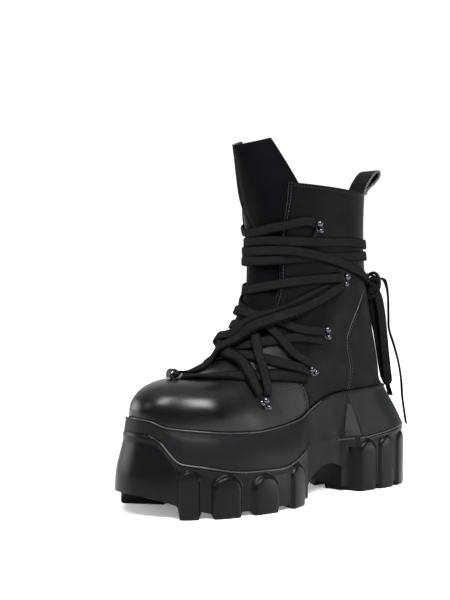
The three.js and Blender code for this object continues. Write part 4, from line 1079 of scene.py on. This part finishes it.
def share_of(y):
    """Share of the sole's whole length at a place on its base line."""
    return (y + SOLE_HALF) / (2 * SOLE_HALF)


# The sole's wall runs about from here to here along y, midway between the feather line and the base.
WALL_TOE, WALL_HEEL = -145.6, 140.8


def wall_y(share):
    """About where the sole's wall stands at a share of its length."""
    return mix(WALL_TOE, WALL_HEEL, share)


def wall_share(y):
    return (y - WALL_TOE) / (WALL_HEEL - WALL_TOE)


def wall_side(share, side, flare, inset, height, proud):
    """One side of the sole, with its places moved straight out of the wall; height and proud may be
    functions of y and the side, and of z and the side."""
    x, y = sole_edge(share, side, flare, inset)
    z = height(y, side) if callable(height) else height
    proud = proud(z, side) if callable(proud) else proud
    dx, dy = np.gradient(x), np.gradient(y)
    length = np.maximum(np.hypot(dx, dy), 1e-9)
    return np.stack([x + proud * dy / length * side, y - proud * dx / length * side, z + 0 * x], axis=1)


def ring_of(share, flare, height, inset=0.0, proud=0.0):
    """A ring round the sole from the toe by the outer side, heel and inner side."""
    outer, inner = (wall_side(share, side, flare, inset, height, proud) for side in (OUTER, INNER))
    return np.vstack([outer, inner[-2:0:-1]])


def stack(rings):
    """Rings joined from top to bottom, closed by a strip from side to side at each station."""
    count = len(rings[0])
    i = np.arange(count // 2)
    over, over_next = (count - i) % count, (count - i - 1) % count
    faces = [
        grid_faces(len(rings), count, wrap=True)[:, ::-1],
        np.stack([i, i + 1, over_next, over], axis=1),
        (len(rings) - 1) * count + np.stack([over, over_next, i + 1, i], axis=1),
    ]
    return np.vstack(rings), np.vstack(faces)


def drop_flat(points, faces):
    """Leaves out faces with no area, such as those at the ends of a strip."""
    a, b, c, d = (points[faces[:, k]] for k in range(4))
    area = np.linalg.norm(np.cross(c - a, d - b), axis=1)
    return points, faces[area > 1e-6]


# A drop is 0 at the top of a wall and 1 at its foot; here, how far the midsole has flared there.
MIDSOLE_DROPS = [0, 0.05, 0.22, 0.5, 0.8, 1]
midsole_wall = {
    "toe": curve(MIDSOLE_DROPS, [0, 0.01, 0.04, 0.08, 0.13, 0.16]),
    "forefoot": curve(MIDSOLE_DROPS, [0, 0.1, 0.5, 0.78, 0.9, 0.92]),
    "waist": curve(MIDSOLE_DROPS, [0, 0.02, 0.06, 0.12, 0.22, 0.3]),
    "heel": curve(MIDSOLE_DROPS, [0, 0.03, 0.2, 0.52, 0.82, 1]),
}
ARCH = {"y": 42, "z": -10, "radius": 38, "floor": 12}
WAIST_RECESS = 4
HEEL_FRONT = 75
FACET = {"low_z": 50, "top_z": 80, "front": [60, 71.2], "rear": [HEEL_FRONT, 72]}


def heel_weight(share, drop):
    """0 on the waist, 1 on the heel; a three-cornered facet leads from one to the other."""
    y = wall_y(share)
    z = mix(feather_z(y), ledge_z(y), drop)
    up = np.clip((z - FACET["low_z"]) / (FACET["top_z"] - FACET["low_z"]), 0, 1)
    front, rear = mix(*FACET["front"], up), mix(*FACET["rear"], up)
    return np.clip((y - front) / (rear - front), 0, 1)


def midsole_flare(share, drop):
    """How far the wall has run out from the feather line towards the base line."""
    forefoot = smoothstep(share, 0.03, 0.1)
    waist = smoothstep(share, 0.48, 0.6)
    heel = heel_weight(share, drop)
    flare = mix(midsole_wall["toe"](drop), midsole_wall["forefoot"](drop), forefoot)
    return mix(mix(flare, midsole_wall["waist"](drop), waist), midsole_wall["heel"](drop), heel)


def edge_y(share, flare):
    return sole_edge(share, OUTER, flare)[1]


def waist_recess(share, drop):
    """How far in mm the waist's wall lies back in front of the heel."""
    back = smoothstep(wall_y(share), 25, 58) * (1 - heel_weight(share, drop))
    return WAIST_RECESS * back * np.clip(drop / 0.8, 0, 1) * (1 - 0.3 * smoothstep(drop, 0.8, 1))


def joint_z(y):
    """Where the midsole's wall ends over the two blocks of the outsole."""
    return np.where(y < JOINT_FRONT, ridge_z(y), ledge_z(y)) + 0.3


def midsole_rings():
    """Down the wall with its lip, then up under the waist to the arch."""
    share = stations(list(np.linspace(0.7, 0.785, 60)) + [0.5099, 0.5101])
    rings = []
    for drop in [0, 0.008, 0.02, 0.035, 0.06, 0.1, 0.16, 0.22, 0.3, 0.4, 0.5, 0.6, 0.7, 0.8, 0.9, 0.96, 1]:
        flare = midsole_flare(share, drop)
        lip = -0.5 * smoothstep(drop, 0.03, 0.0) + 0.9 * np.exp(-(((drop - 0.028) / 0.02) ** 2))
        y = edge_y(share, flare)
        height = mix(feather_z(y), joint_z(y), drop)
        rings.append(ring_of(share, flare, height, proud=lip - waist_recess(share, drop)))
    flare = np.where((share > 0.5) & (share < 0.74), 0.3, midsole_flare(share, 1.0))
    y = edge_y(share, flare)
    scoop = ARCH["z"] + np.sqrt(np.maximum(ARCH["radius"] ** 2 - (y - ARCH["y"]) ** 2, 0))
    waist = (y > JOINT_FRONT) & (y < JOINT_REAR)
    for drop in (0.1, 0.25, 0.4, 0.55, 0.7, 0.84, 0.94, 1):
        height = np.where(waist, mix(joint_z(y), np.maximum(scoop, ARCH["floor"]), drop), joint_z(y))
        rings.append(ring_of(share, flare, height, proud=-waist_recess(share, 1.0)))
    return rings


midsole = add_mesh("midsole_wall", *drop_flat(*stack(midsole_rings())), MIDSOLE_RUBBER)
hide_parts("midsole")

BLOCK_LEVELS = 44
SHARP_ANGLE = math.radians(38)
# The forefoot's block runs on a little under the midsole behind the joint.
FOREFOOT_REAR = JOINT_FRONT + 1.6
# The lugs from the toe backwards: share of the length, and width, top and stand in mm.
FOREFOOT_LUGS = [
    {"share": 0.115, "width": 18.5, "top": 40, "proud": 3.6},
    {"share": 0.21, "width": 27, "top": 35.5, "proud": 4.4},
    {"share": 0.33, "width": 28, "top": 33, "proud": 4.2},
    {"share": 0.457, "width": 22, "top": 37, "proud": 4.0},
]
HEEL_LUGS = [
    {"share": 0.785, "width": 21, "top": 46, "proud": 2.6},
    {"share": 0.862, "width": 20, "top": 48, "proud": 2.8},
    {"share": 0.94, "width": 20, "top": 50, "proud": 2.4},
]


def lug_offsets(share, side, lugs):
    """Each lug, with the places' distances from its middle along the base line, in half widths."""
    fine = np.linspace(0, 1, 600)
    lengths = line_lengths(np.stack(sole_edge(fine, side, np.ones_like(fine)), axis=1))
    place = np.interp(share, fine, lengths)
    return [(lug, (place - np.interp(lug["share"], fine, lengths)) / (lug["width"] / 2)) for lug in lugs]


def lug_field(share, side, lugs, z):
    """How far the lugs stand out of the wall: thumb-shaped pads with round tops."""
    proud = np.zeros_like(share)
    for lug, off in lug_offsets(share, side, lugs):
        half = lug["width"] / 2
        rise = (z - (lug["top"] - half)) / half
        reach = np.hypot(off, np.maximum(rise, 0))
        pad = 1 - smoothstep(reach, 0.76, 1.03)
        crown = 1 - 0.2 * np.clip(reach, 0, 1) ** 2 - 0.1 * np.clip(-rise / 3, 0, 1)
        proud = np.maximum(proud, lug["proud"] * pad * crown)
    return proud


def lug_footprint(share, side, lugs):
    """1 under a lug, 0 in the arched notches between them."""
    offsets = [off for _, off in lug_offsets(share, side, lugs)]
    return np.max([1 - smoothstep(np.abs(off), 0.86, 1.04) for off in offsets], axis=0)


def heel_step(share, flare):
    """The heel's front end stands back from its side by a step."""
    return 8 * (1 - smoothstep(edge_y(share, flare), HEEL_FRONT - 2, HEEL_FRONT + 0.5))


def block_rings(share, lugs, top_z, floor_z, flare_at):
    """Rings down a block's lugged wall, round its lower edge and in under its tread."""
    footprint = {side: lug_footprint(share, side, lugs) for side in (OUTER, INNER)}

    def stand_of_lugs(z, side):
        return lug_field(share, side, lugs, z)

    rings = []
    for drop in np.linspace(0, 1, BLOCK_LEVELS):
        flare = flare_at(share, drop)
        stand = 0.8 * smoothstep(drop, 0.0, 0.04) - 0.5 - 0.9 * smoothstep(drop, 0.05, 0.16)
        step = heel_step(share, flare) if lugs is HEEL_LUGS else 0

        def height(y, side, drop=drop):
            return mix(top_z(y), mix(floor_z(y), 1.4, footprint[side]), drop)

        rings.append(ring_of(share, flare, height, step - stand, stand_of_lugs))
    for inset, low, lugged in ((1.2, 0.5, True), (2.2, 0.0, True), (30.6, 0.0, False)):

        def height(y, side, low=low):
            return mix(floor_z(y), low, footprint[side])

        rings.append(ring_of(share, flare, height, inset + step, stand_of_lugs if lugged else 0))
    rings.append(ring_of(share, flare, lambda y, side: floor_z(y) + 0.1, 33))
    return rings


def build_block(rings, share, front=-np.inf, rear=np.inf):
    """A solid between two cuts across the foot: outer wall, inner wall, top, bottom and end walls."""
    count = len(share)
    keep = (share >= share_of(front) - 1e-6) & (share <= share_of(rear) + 1e-6)
    outer = np.stack([ring[:count][keep] for ring in rings])
    inner = np.stack([
        np.vstack([ring[:1], ring[count:][::-1], ring[count - 1 : count]])[keep] for ring in rings
    ])
    for wall in (outer, inner):
        wall[..., 1] = np.clip(wall[..., 1], front, rear)
        for column, cut_y in ((0, front), (-1, rear)):
            if np.isfinite(cut_y):
                wall[:, column, 1] = cut_y
    rows, columns = outer.shape[:2]
    shift, last = rows * columns, (rows - 1) * columns
    walls = grid_faces(rows, columns)
    j = np.arange(columns - 1)
    top = np.stack([j, j + 1, shift + j + 1, shift + j], axis=1)
    bottom = last + np.stack([shift + j, shift + j + 1, j + 1, j], axis=1)
    i = np.arange(rows - 1) * columns
    ends = []
    for column, turn in ((0, 1), (columns - 1, -1)):
        quad = np.stack([i, i + columns, shift + i + columns, shift + i], axis=1) + column
        ends.append(quad[:, ::turn])
    faces = np.vstack([walls[:, ::-1], walls + shift, top, bottom] + ends)
    return drop_flat(np.vstack([outer.reshape(-1, 3), inner.reshape(-1, 3)]), faces)


OUTSOLE_DROPS = [0, 0.2, 0.75, 1]
toe_wall = curve(OUTSOLE_DROPS, [0.17, 0.36, 0.93, 1])
side_wall = curve(OUTSOLE_DROPS, [0.93, 0.96, 1, 1])


def outsole_flare(share, drop):
    return mix(toe_wall(drop), side_wall(drop), smoothstep(share, 0.03, 0.1))


share = stations([share_of(FOREFOOT_REAR), share_of(JOINT_REAR)] + list(np.linspace(0.738, 0.756, 10)))
rings = block_rings(share, FOREFOOT_LUGS, ridge_z, tread_z, outsole_flare)
points, faces = build_block(rings, share, rear=FOREFOOT_REAR)
forefoot = add_mesh("outsole_forefoot_tread", points, faces, TREAD_RUBBER)
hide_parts("outsole_forefoot")

rings = block_rings(share, HEEL_LUGS, ledge_z, lambda y: HEEL_TREAD_Z + 0 * y, lambda s, drop: np.ones_like(s))
points, faces = build_block(rings, share, front=JOINT_REAR)
heel = add_mesh("outsole_heel_tread", points, faces, TREAD_RUBBER)
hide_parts("outsole_heel")
for obj in (forefoot, heel, midsole):
    weld = obj.modifiers.new("weld", "WELD")
    weld.merge_threshold = 0.02 * MM
    obj.data.set_sharp_from_angle(angle=SHARP_ANGLE)

FACET_PROUD = 0.3
# The horn's run along the foot, its height over and under the ledge, and how deep its root is sunk.
HORN = {"length": [56, 77], "above": 5, "below": -9, "sunk": 1.5}


def horn_growth(share):
    """0 at the horn's tip on the waist, 1 where it runs into the heel's ledge."""
    return smoothstep(share, *wall_share(np.array(HORN["length"]))) ** 0.6


def horn_edge(share):
    """How far the edge of the heel's horn stands out of the sole's plan."""
    return -mix(waist_recess(share, 1.0) + HORN["sunk"], -0.1, horn_growth(share))


def bead(height, flare, radius, proud, low=0.0, high=1.0):
    """A rounded moulded edge that runs along the sole at a height, on both sides."""
    share = stations()
    share = share[(share >= low) & (share <= high)]
    parts = []
    for side in (OUTER, INNER):
        width = flare(share) if callable(flare) else flare + 0 * share
        stand = proud(share) if callable(proud) else proud
        x, y = sole_edge(share, side, width, -stand)
        parts.append(round_rod(np.stack([x, y, height(y)], axis=1), [0, 0, 1], radius, 8))
    return merge(parts)


def facet_patch(side):
    """The three-cornered face that leads from the waist to the heel, a little proud of the wall, in a lighter
    rubber as a painted highlight.
    """
    rows, columns = 24, 8
    up, over = np.meshgrid(np.linspace(0.98, 0.02, rows), np.linspace(0.3, 0.9, columns), indexing="ij")
    up, over = up.ravel(), over.ravel()
    share = wall_share(mix(mix(*FACET["front"], up), mix(*FACET["rear"], up), over))
    z = mix(FACET["low_z"], FACET["top_z"], up)
    drop = np.full_like(up, 0.5)
    for _ in range(5):
        x, y = sole_edge(share, side, midsole_flare(share, drop), waist_recess(share, drop) - FACET_PROUD)
        drop = np.clip((feather_z(y) - z) / (feather_z(y) - ledge_z(y)), 0, 1)
    return np.stack([x, y, z], axis=1), grid_faces(rows, columns)[:, ::side]


def heel_horn(side):
    """The heel's ledge runs out forwards as a short horn, under the facet, and dies into the waist."""
    share = wall_share(np.linspace(*HORN["length"], 40))
    grown = horn_growth(share)
    root = waist_recess(share, 1.0) + HORN["sunk"]
    above, below = HORN["above"], HORN["below"]
    rings = []
    for out, rise in ((0, above), (0.55, 0.42 * above), (0.93, 0.8), (1, 0.1), (0.94, -0.6), (0, below)):
        x, y = sole_edge(share, side, midsole_flare(share, 1.0), mix(root, -0.2, out * grown))
        rings.append(np.stack([x, y, ledge_z(y) + rise * mix(0.4, 1, grown)], axis=1))
    return np.vstack(rings), grid_faces(len(rings), len(share))[:, ::side]


horns = add_mesh("heel_ledge_horns", *merge(heel_horn(side) for side in (OUTER, INNER)), MIDSOLE_RUBBER)
facets = add_mesh("heel_facets", *merge(facet_patch(side) for side in (OUTER, INNER)), FACET_RUBBER)
# The feather line, the ridge over the forefoot's lugs, the heel's ledge and the edge of its horn, as beads in a
# lighter rubber: a painted highlight.
points, faces = merge([
    bead(lambda y: feather_z(y) + 0.1, 0.0, 0.7, -0.1, high=share_of(44)),
    bead(
        lambda y: ridge_z(y) - 0.4, lambda s: outsole_flare(s, 0.0), 0.75, 0.35,
        low=share_of(-138), high=share_of(JOINT_FRONT),
    ),
    bead(lambda y: ledge_z(y) - 0.3, 1.0, 0.6, -0.1, low=share_of(HEEL_FRONT)),
    bead(
        lambda y: ledge_z(y) + 0.1, lambda s: midsole_flare(s, 1.0), 0.5, horn_edge,
        low=share_of(58), high=share_of(76),
    ),
])
edge_beads = add_mesh("sole_edge_beads", points, faces, EDGE_RUBBER)


# ------------------------------------------------------------------ free laces behind the ankle
LOOP_ROUTE = [
    [12, 118, 178], [14, 119.3, 172], [15.5, 121.5, 158], [15.5, 124, 141], [15, 127, 122], [14.5, 130.2, 104],
    [13.5, 132.4, 95], [11.5, 133.4, 91.5], [9.5, 132.8, 95], [8.5, 130.6, 105], [8, 127.4, 122],
    [7.5, 124, 141], [7.5, 121, 158], [7, 118, 170], [7, 117, 177],
]
LONG_END_ROUTE = [
    [13.5, 123.4, 190], [14, 126.5, 188.5], [15, 129, 181], [15.5, 130.2, 170], [15.5, 130.6, 156],
    [15.5, 131.5, 143], [20, 133.5, 128], [23.5, 136, 112], [22.5, 140.5, 96], [20, 144.5, 80], [18, 149.5, 64],
    [17, 152.5, 54],
]
SHORT_END_ROUTE = [
    [3, 116.5, 179], [2, 118, 168], [2.5, 122, 152], [4, 126.5, 135], [5, 130.5, 118], [6, 135, 102],
    [7, 138.5, 89], [8, 141, 80],
]
KNOT = np.array([9.5, 113.5, 183])
# Outward directions of the flat laces, as [share of the length, x, y, z].
LOOP_FACING = [
    [0, 0.9, -0.4, 0.1], [0.43, 0.9, -0.4, 0], [0.5, 0.1, 0, -1], [0.57, -0.9, 0.4, 0], [1, -0.9, 0.4, 0.1],
]
LONG_FACING = [[0, 0.1, 0.4, 1], [0.12, 0.6, 0.8, 0], [1, 0.6, 0.8, 0.2]]
SHORT_FACING = [[0, 0.5, 0.9, 0.1], [1, 0.2, 1, 0.2]]


def free_lace(name, route, facing):
    """A flat lace that hangs free; facing gives its outward direction at shares of its length."""
    line = resample(spline(route), 1.6)
    share, *facing = np.array(facing, float).T
    hint = np.stack([np.interp(np.linspace(0, 1, len(line)), share, part) for part in facing], axis=1)
    obj = add_laces(name, [flat_lace(line, hint, LACE_WIDTH, 1.8)])
    return obj, line


# The knot's wound bands: tilt in radians, shift from its middle and radius in mm.
KNOT_BANDS = [(0.15, 0, 7.6), (1.35, 0.5, 10.2), (-0.9, 0.9, 8.0), (1.0, -2.4, 9.4), (1.7, 1.5, 11.0)]
# Where the wraps run into the knot, as [degrees round, height], and where the loop's strands leave it.
KNOT_ENTRIES = [(72, 190), (97, 197), (112, 205)]
KNOT_EXITS = [[13, 118.6, 175], [8.5, 117.6, 174]]


def knot_laces():
    """The tied middle of the bow: flat laces wound over each other round a solid core."""
    laces = []
    section = lace_section(6.4, 2.4)
    for tilt, shift, radius in KNOT_BANDS:
        flat = np.pad(circle(40), ((0, 0), (0, 1))) * [radius, 0.6 * radius, 0]
        turn = np.array(Matrix.Rotation(tilt, 3, "Y") @ Matrix.Rotation(tilt * 0.6, 3, "X"))
        line = flat @ turn.T + KNOT + [shift, 0.6 * shift, shift]
        along = unit(np.roll(line, -1, axis=0) - np.roll(line, 1, axis=0))
        across = unit(np.cross(unit(line - KNOT), along))
        band = sweep(line, across, unit(np.cross(along, across)), section, closed=True)
        laces.append((*band, lace_places(line, section, caps=False)))
    core, core_faces = ball(7.2, KNOT + [0, 0.5, -1], 1.15)
    laces.append((core, core_faces, core * [1, 0, 0] + [0, 1, 1]))
    for degrees, z in KNOT_ENTRIES:
        spot, normal = wrap_spot(degrees, z)
        before, _ = wrap_spot(degrees + (-9 if degrees < 90 else 9), z + 1)
        route = [before + normal * 3, spot + normal * 3.6, mix(spot + normal * 4, KNOT, 0.6), KNOT]
        line = resample(spline(route), 1.6)
        hint = unit(mix(normal, np.array([0.7, 0.6, 0.3]), np.linspace(0, 1, len(line))[:, None]))
        laces.append(flat_lace(line, hint, LACE_WIDTH, 2))
    for exit_spot in KNOT_EXITS:
        route = [KNOT + [1, 2, 3], mix(KNOT, np.array(exit_spot), 0.5) + [1, 1, 0], exit_spot]
        laces.append(flat_lace(resample(spline(route), 1.6), [0.9, -0.4, 0], LACE_WIDTH, 2.2))
    return laces


knot = add_laces("knot", knot_laces())
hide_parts("lace_knot")
loop, loop_line = free_lace("bow_loop", LOOP_ROUTE, LOOP_FACING)
long_end, long_line = free_lace("long_end", LONG_END_ROUTE, LONG_FACING)
short_end, short_line = free_lace("short_end", SHORT_END_ROUTE, SHORT_FACING)
for obj, line, cad, end in (
    (loop, loop_line, "lace_loop", "object"),
    (long_end, long_line, "lace_end_long", "bare"),
    (short_end, short_line, "lace_end_short", "bare"),
):
    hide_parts(cad)
    length = line_lengths(line)[-1] * MM


# ------------------------------------------------------------------ zip teeth
def spots_along(side, line, step):
    """Places along a side-view line, as far as the line lies on the form."""
    dense = resample(spline(line), step)
    found = [spot for spot in (side_spot(side, y, z) for y, z in dense) if spot is not None]
    return np.array([s for s, _ in found]), np.array([n for _, n in found])


def boxes(centres, axes, size):
    """Small boxes at the centres; axes gives their along, across and out directions."""
    corners = np.array([[x, y, z] for x in (-0.5, 0.5) for y in (-0.5, 0.5) for z in (-0.5, 0.5)]) * size
    quads = np.array([[0, 1, 3, 2], [4, 6, 7, 5], [0, 4, 5, 1], [2, 3, 7, 6], [0, 2, 6, 4], [1, 5, 7, 3]])
    points = centres[:, None] + np.einsum("kc,ncd->nkd", corners, axes)
    faces = quads[None] + (np.arange(len(centres)) * 8)[:, None, None]
    return points.reshape(-1, 3), faces.reshape(-1, 4)


TOOTH_PITCH, TOOTH_SIZE = 1.25, [1.15, 2.5, 1.5]
line, out = spots_along(INNER, [[54.2, 260]] + ZIP_LINE[1:], TOOTH_PITCH)
along = unit(np.gradient(line, axis=0))
across = unit(np.cross(out, along))
alternate = np.where(np.arange(len(line)) % 2, 1, -1)[:, None]
axes = np.stack([along, across, out], axis=1)
points, faces = boxes(line + across * alternate * 1.2 + out * 0.1, axes, TOOTH_SIZE)
teeth = add_mesh("zip_teeth", points, faces, ZIP_NICKEL, smooth=False)


# ------------------------------------------------------------------ stitching
STITCH = {"pitch": 3.0, "length": 2.2, "radius": 0.34, "corners": 6}
# Rings of a stitch: share of its length, share of its radius, rise in mm.
STITCH_RINGS = [(-0.5, 0.5, -0.35), (-0.25, 1.0, 0.1), (0.25, 1.0, 0.1), (0.5, 0.5, -0.35)]


def stitch_row(spots, outs, lift):
    """Stitches along a line of places: short threads that dip in at both ends."""
    lengths = line_lengths(spots)
    at = np.arange(STITCH["pitch"] / 2, lengths[-1], STITCH["pitch"])
    centre, normal, along = (
        np.stack([np.interp(at, lengths, column) for column in values.T], axis=1)
        for values in (spots, outs, np.gradient(spots, axis=0))
    )
    normal, along = unit(normal), unit(along)
    across = unit(np.cross(normal, along))
    cos, sin = circle(STITCH["corners"]).T[:, None, :, None] * STITCH["radius"]
    rings = []
    for place, size, rise in STITCH_RINGS:
        middle = centre + along * place * STITCH["length"] + normal * (lift + rise)
        rings.append(middle[:, None] + size * (across[:, None] * cos + normal[:, None] * sin))
    faces = grid_faces(len(rings), STITCH["corners"], wrap=True)
    start = np.arange(len(at))[:, None, None] * len(rings) * STITCH["corners"]
    return np.stack(rings, axis=1).reshape(-1, 3), (faces[None] + start).reshape(-1, 4)


# Rows of stitches: line, distance from it towards the heel, height over the form's face.
SEAMS = [
    (THROAT_LINE[3:], 1.9, 1.15),
    (VAMP_SEAM[2:], 1.6, 0.1),
    (VAMP_SEAM[2:], 3.8, 0.1),
    (COUNTER_EDGE[:9], 2.0, PANEL_THICKNESS + 0.05),
    ([[2, 270.6], [104, 262.6]], 0.0, 0.1),
]
ZIP_ROW = [[53.5, 263]] + ZIP_LINE[1:]
SEAM_STEP = 1.5
ZIP_SEAMS = [(ZIP_ROW, -6.2, 0.1), (ZIP_ROW, 6.2, 0.1)]
rows = []
for side, seams in ((OUTER, SEAMS), (INNER, SEAMS + ZIP_SEAMS)):
    for line, distance, lift in seams:
        spots, outs = spots_along(side, offset_line(spline(line, 8), distance), SEAM_STEP)
        rows.append(stitch_row(spots, outs, lift))
points, faces = merge(rows)
stitches = add_mesh("seam_stitching", points, faces, STITCH_THREAD)


# ------------------------------------------------------------------ floor, light and camera
# Level directions from the boot to the dim side of the room and to its white walls.
TO_DIM_SIDE, TO_WHITE_WALLS = (0.783, -0.622, 0), (-0.805, 0.593, 0)
FLOOR_HALF = 6


def floor():
    """White paper that runs on behind the boot; before it, towards the dim side of the room, its colour darkens
    as painted shade, and it glows as painted light, more strongly far behind the boot.
    """
    material, tree, shader, place = surface("studio_floor_paper", Roughness=0.9, Emission_Color=(1, 1, 1, 1))
    ahead = node(tree, "ShaderNodeVectorMath", {1: TO_DIM_SIDE}, {0: place}, operation="DOT_PRODUCT")
    place_ahead = {"Value": ahead.outputs["Value"]}
    lit, behind = (
        node(tree, "ShaderNodeMapRange", dict(zip(SPAN, span)), place_ahead).outputs["Result"]
        for span in ((420, 850, 1.0, 0.0), (-1400, -200, 0.6, 0.24))
    )
    # The paper's colour: dark grey before the boot as painted shade, near white elsewhere.
    colours = {"A": linear("2a2a2a"), "B": linear("fafafa")}
    paper = node(tree, "ShaderNodeMix", colours, {"Factor": lit}, data_type="RGBA")
    tree.links.new(paper.outputs[2], shader.inputs["Base Color"])
    # The paper's glow is painted light, strongest far behind the boot and gone before it.
    glow = node(tree, "ShaderNodeMath", {}, {0: lit, 1: behind}, operation="MULTIPLY")
    tree.links.new(glow.outputs[0], shader.inputs["Emission Strength"])
    corners = [(x * FLOOR_HALF, y * FLOOR_HALF, 0) for x, y in ((-1, -1), (1, -1), (1, 1), (-1, 1))]
    mesh = bpy.data.meshes.new("studio_floor")
    mesh.from_pydata(corners, [], [(0, 1, 2, 3)])
    mesh.materials.append(material)
    obj = bpy.data.objects.new("studio_floor", mesh)
    bpy.context.scene.collection.objects.link(obj)


def softbox(name, location, target, size, power):
    """A rectangular area light that faces a place on the boot."""
    data = bpy.data.lights.new(name, "AREA")
    data.shape, data.size, data.size_y, data.energy = "RECTANGLE", size[0], size[1], power
    light = bpy.data.objects.new(name, data)
    light.location = location
    light.rotation_euler = (Vector(target) - Vector(location)).to_track_quat("-Z", "Y").to_euler()
    bpy.context.scene.collection.objects.link(light)


def away(azimuth, elevation, distance):
    """A place round the boot, by its direction in degrees and its distance in metres."""
    a, e = math.radians(azimuth), math.radians(elevation)
    return distance * math.cos(e) * math.cos(a), distance * math.cos(e) * math.sin(a), distance * math.sin(e)


def studio_world():
    """White walls behind the boot, a bright ceiling, and a dim room before it."""
    world = bpy.data.worlds.new("studio_room")
    world.use_nodes = True
    tree = world.node_tree
    direction = node(tree, "ShaderNodeTexCoord").outputs["Generated"]
    facing = node(tree, "ShaderNodeVectorMath", {1: TO_WHITE_WALLS}, {0: direction}, operation="DOT_PRODUCT")
    height = node(tree, "ShaderNodeSeparateXYZ", {}, {"Vector": direction}).outputs["Z"]
    walls, overhead = (
        node(tree, "ShaderNodeMapRange", dict(zip(SPAN, span)), {"Value": value}).outputs["Result"]
        for value, span in (
            (facing.outputs["Value"], (0.1, 0.75, 0.06, 1.05)),
            (height, (0.66, 0.92, 0.0, 1.0)),
        )
    )
    level = node(tree, "ShaderNodeMix", {"B": 1.3}, {"Factor": overhead, "A": walls}, data_type="FLOAT")
    tree.links.new(level.outputs[0], tree.nodes["Background"].inputs["Strength"])
    tree.nodes["Background"].inputs["Color"].default_value = (1, 1, 1, 1)
    bpy.context.scene.world = world


LIGHT_DISTANCE = 1.6
floor()
# Each softbox: its direction from the boot in degrees, the place it faces, its size in m, its power in W.
for name, azimuth, elevation, target, size, power in (
    ("toe_softbox", -66, 52, (0.02, -0.12, 0.09), (0.16, 0.6), 17),
    ("key_softbox", -17, 48, (0.03, -0.1, 0.09), (0.56, 0.66), 42),
    ("brow_softbox", -98, 30, (0, -0.13, 0.08), (0.5, 0.4), 3),
    ("front_softbox", -142, 14, (0, -0.1, 0.05), (0.9, 0.6), 11),
    ("side_softbox", 44, 1.6, (0.03, 0.1, 0.03), (0.5, 0.1), 9),
):
    softbox(name, away(azimuth, elevation, LIGHT_DISTANCE), target, size, power)
studio_world()
bpy.context.scene.view_settings.view_transform = "Standard"

# The camera's place in metres, with a long lens that looks a little down.
CAMERA_PLACE = (0.824, -0.6545, 0.205)
CAMERA_YAW, CAMERA_PITCH = math.radians(143.6), math.radians(1.8)
camera_data = bpy.data.cameras.new("camera")
camera_data.lens, camera_data.sensor_width, camera_data.sensor_fit = 72, 36, "AUTO"
camera_data.clip_start = 0.01
camera = bpy.data.objects.new("camera", camera_data)
camera.location = CAMERA_PLACE
look = Vector((
    math.cos(CAMERA_YAW) * math.cos(CAMERA_PITCH),
    math.sin(CAMERA_YAW) * math.cos(CAMERA_PITCH),
    -math.sin(CAMERA_PITCH),
))
camera.rotation_euler = look.to_track_quat("-Z", "Y").to_euler()
bpy.context.scene.collection.objects.link(camera)
bpy.context.scene.camera = camera
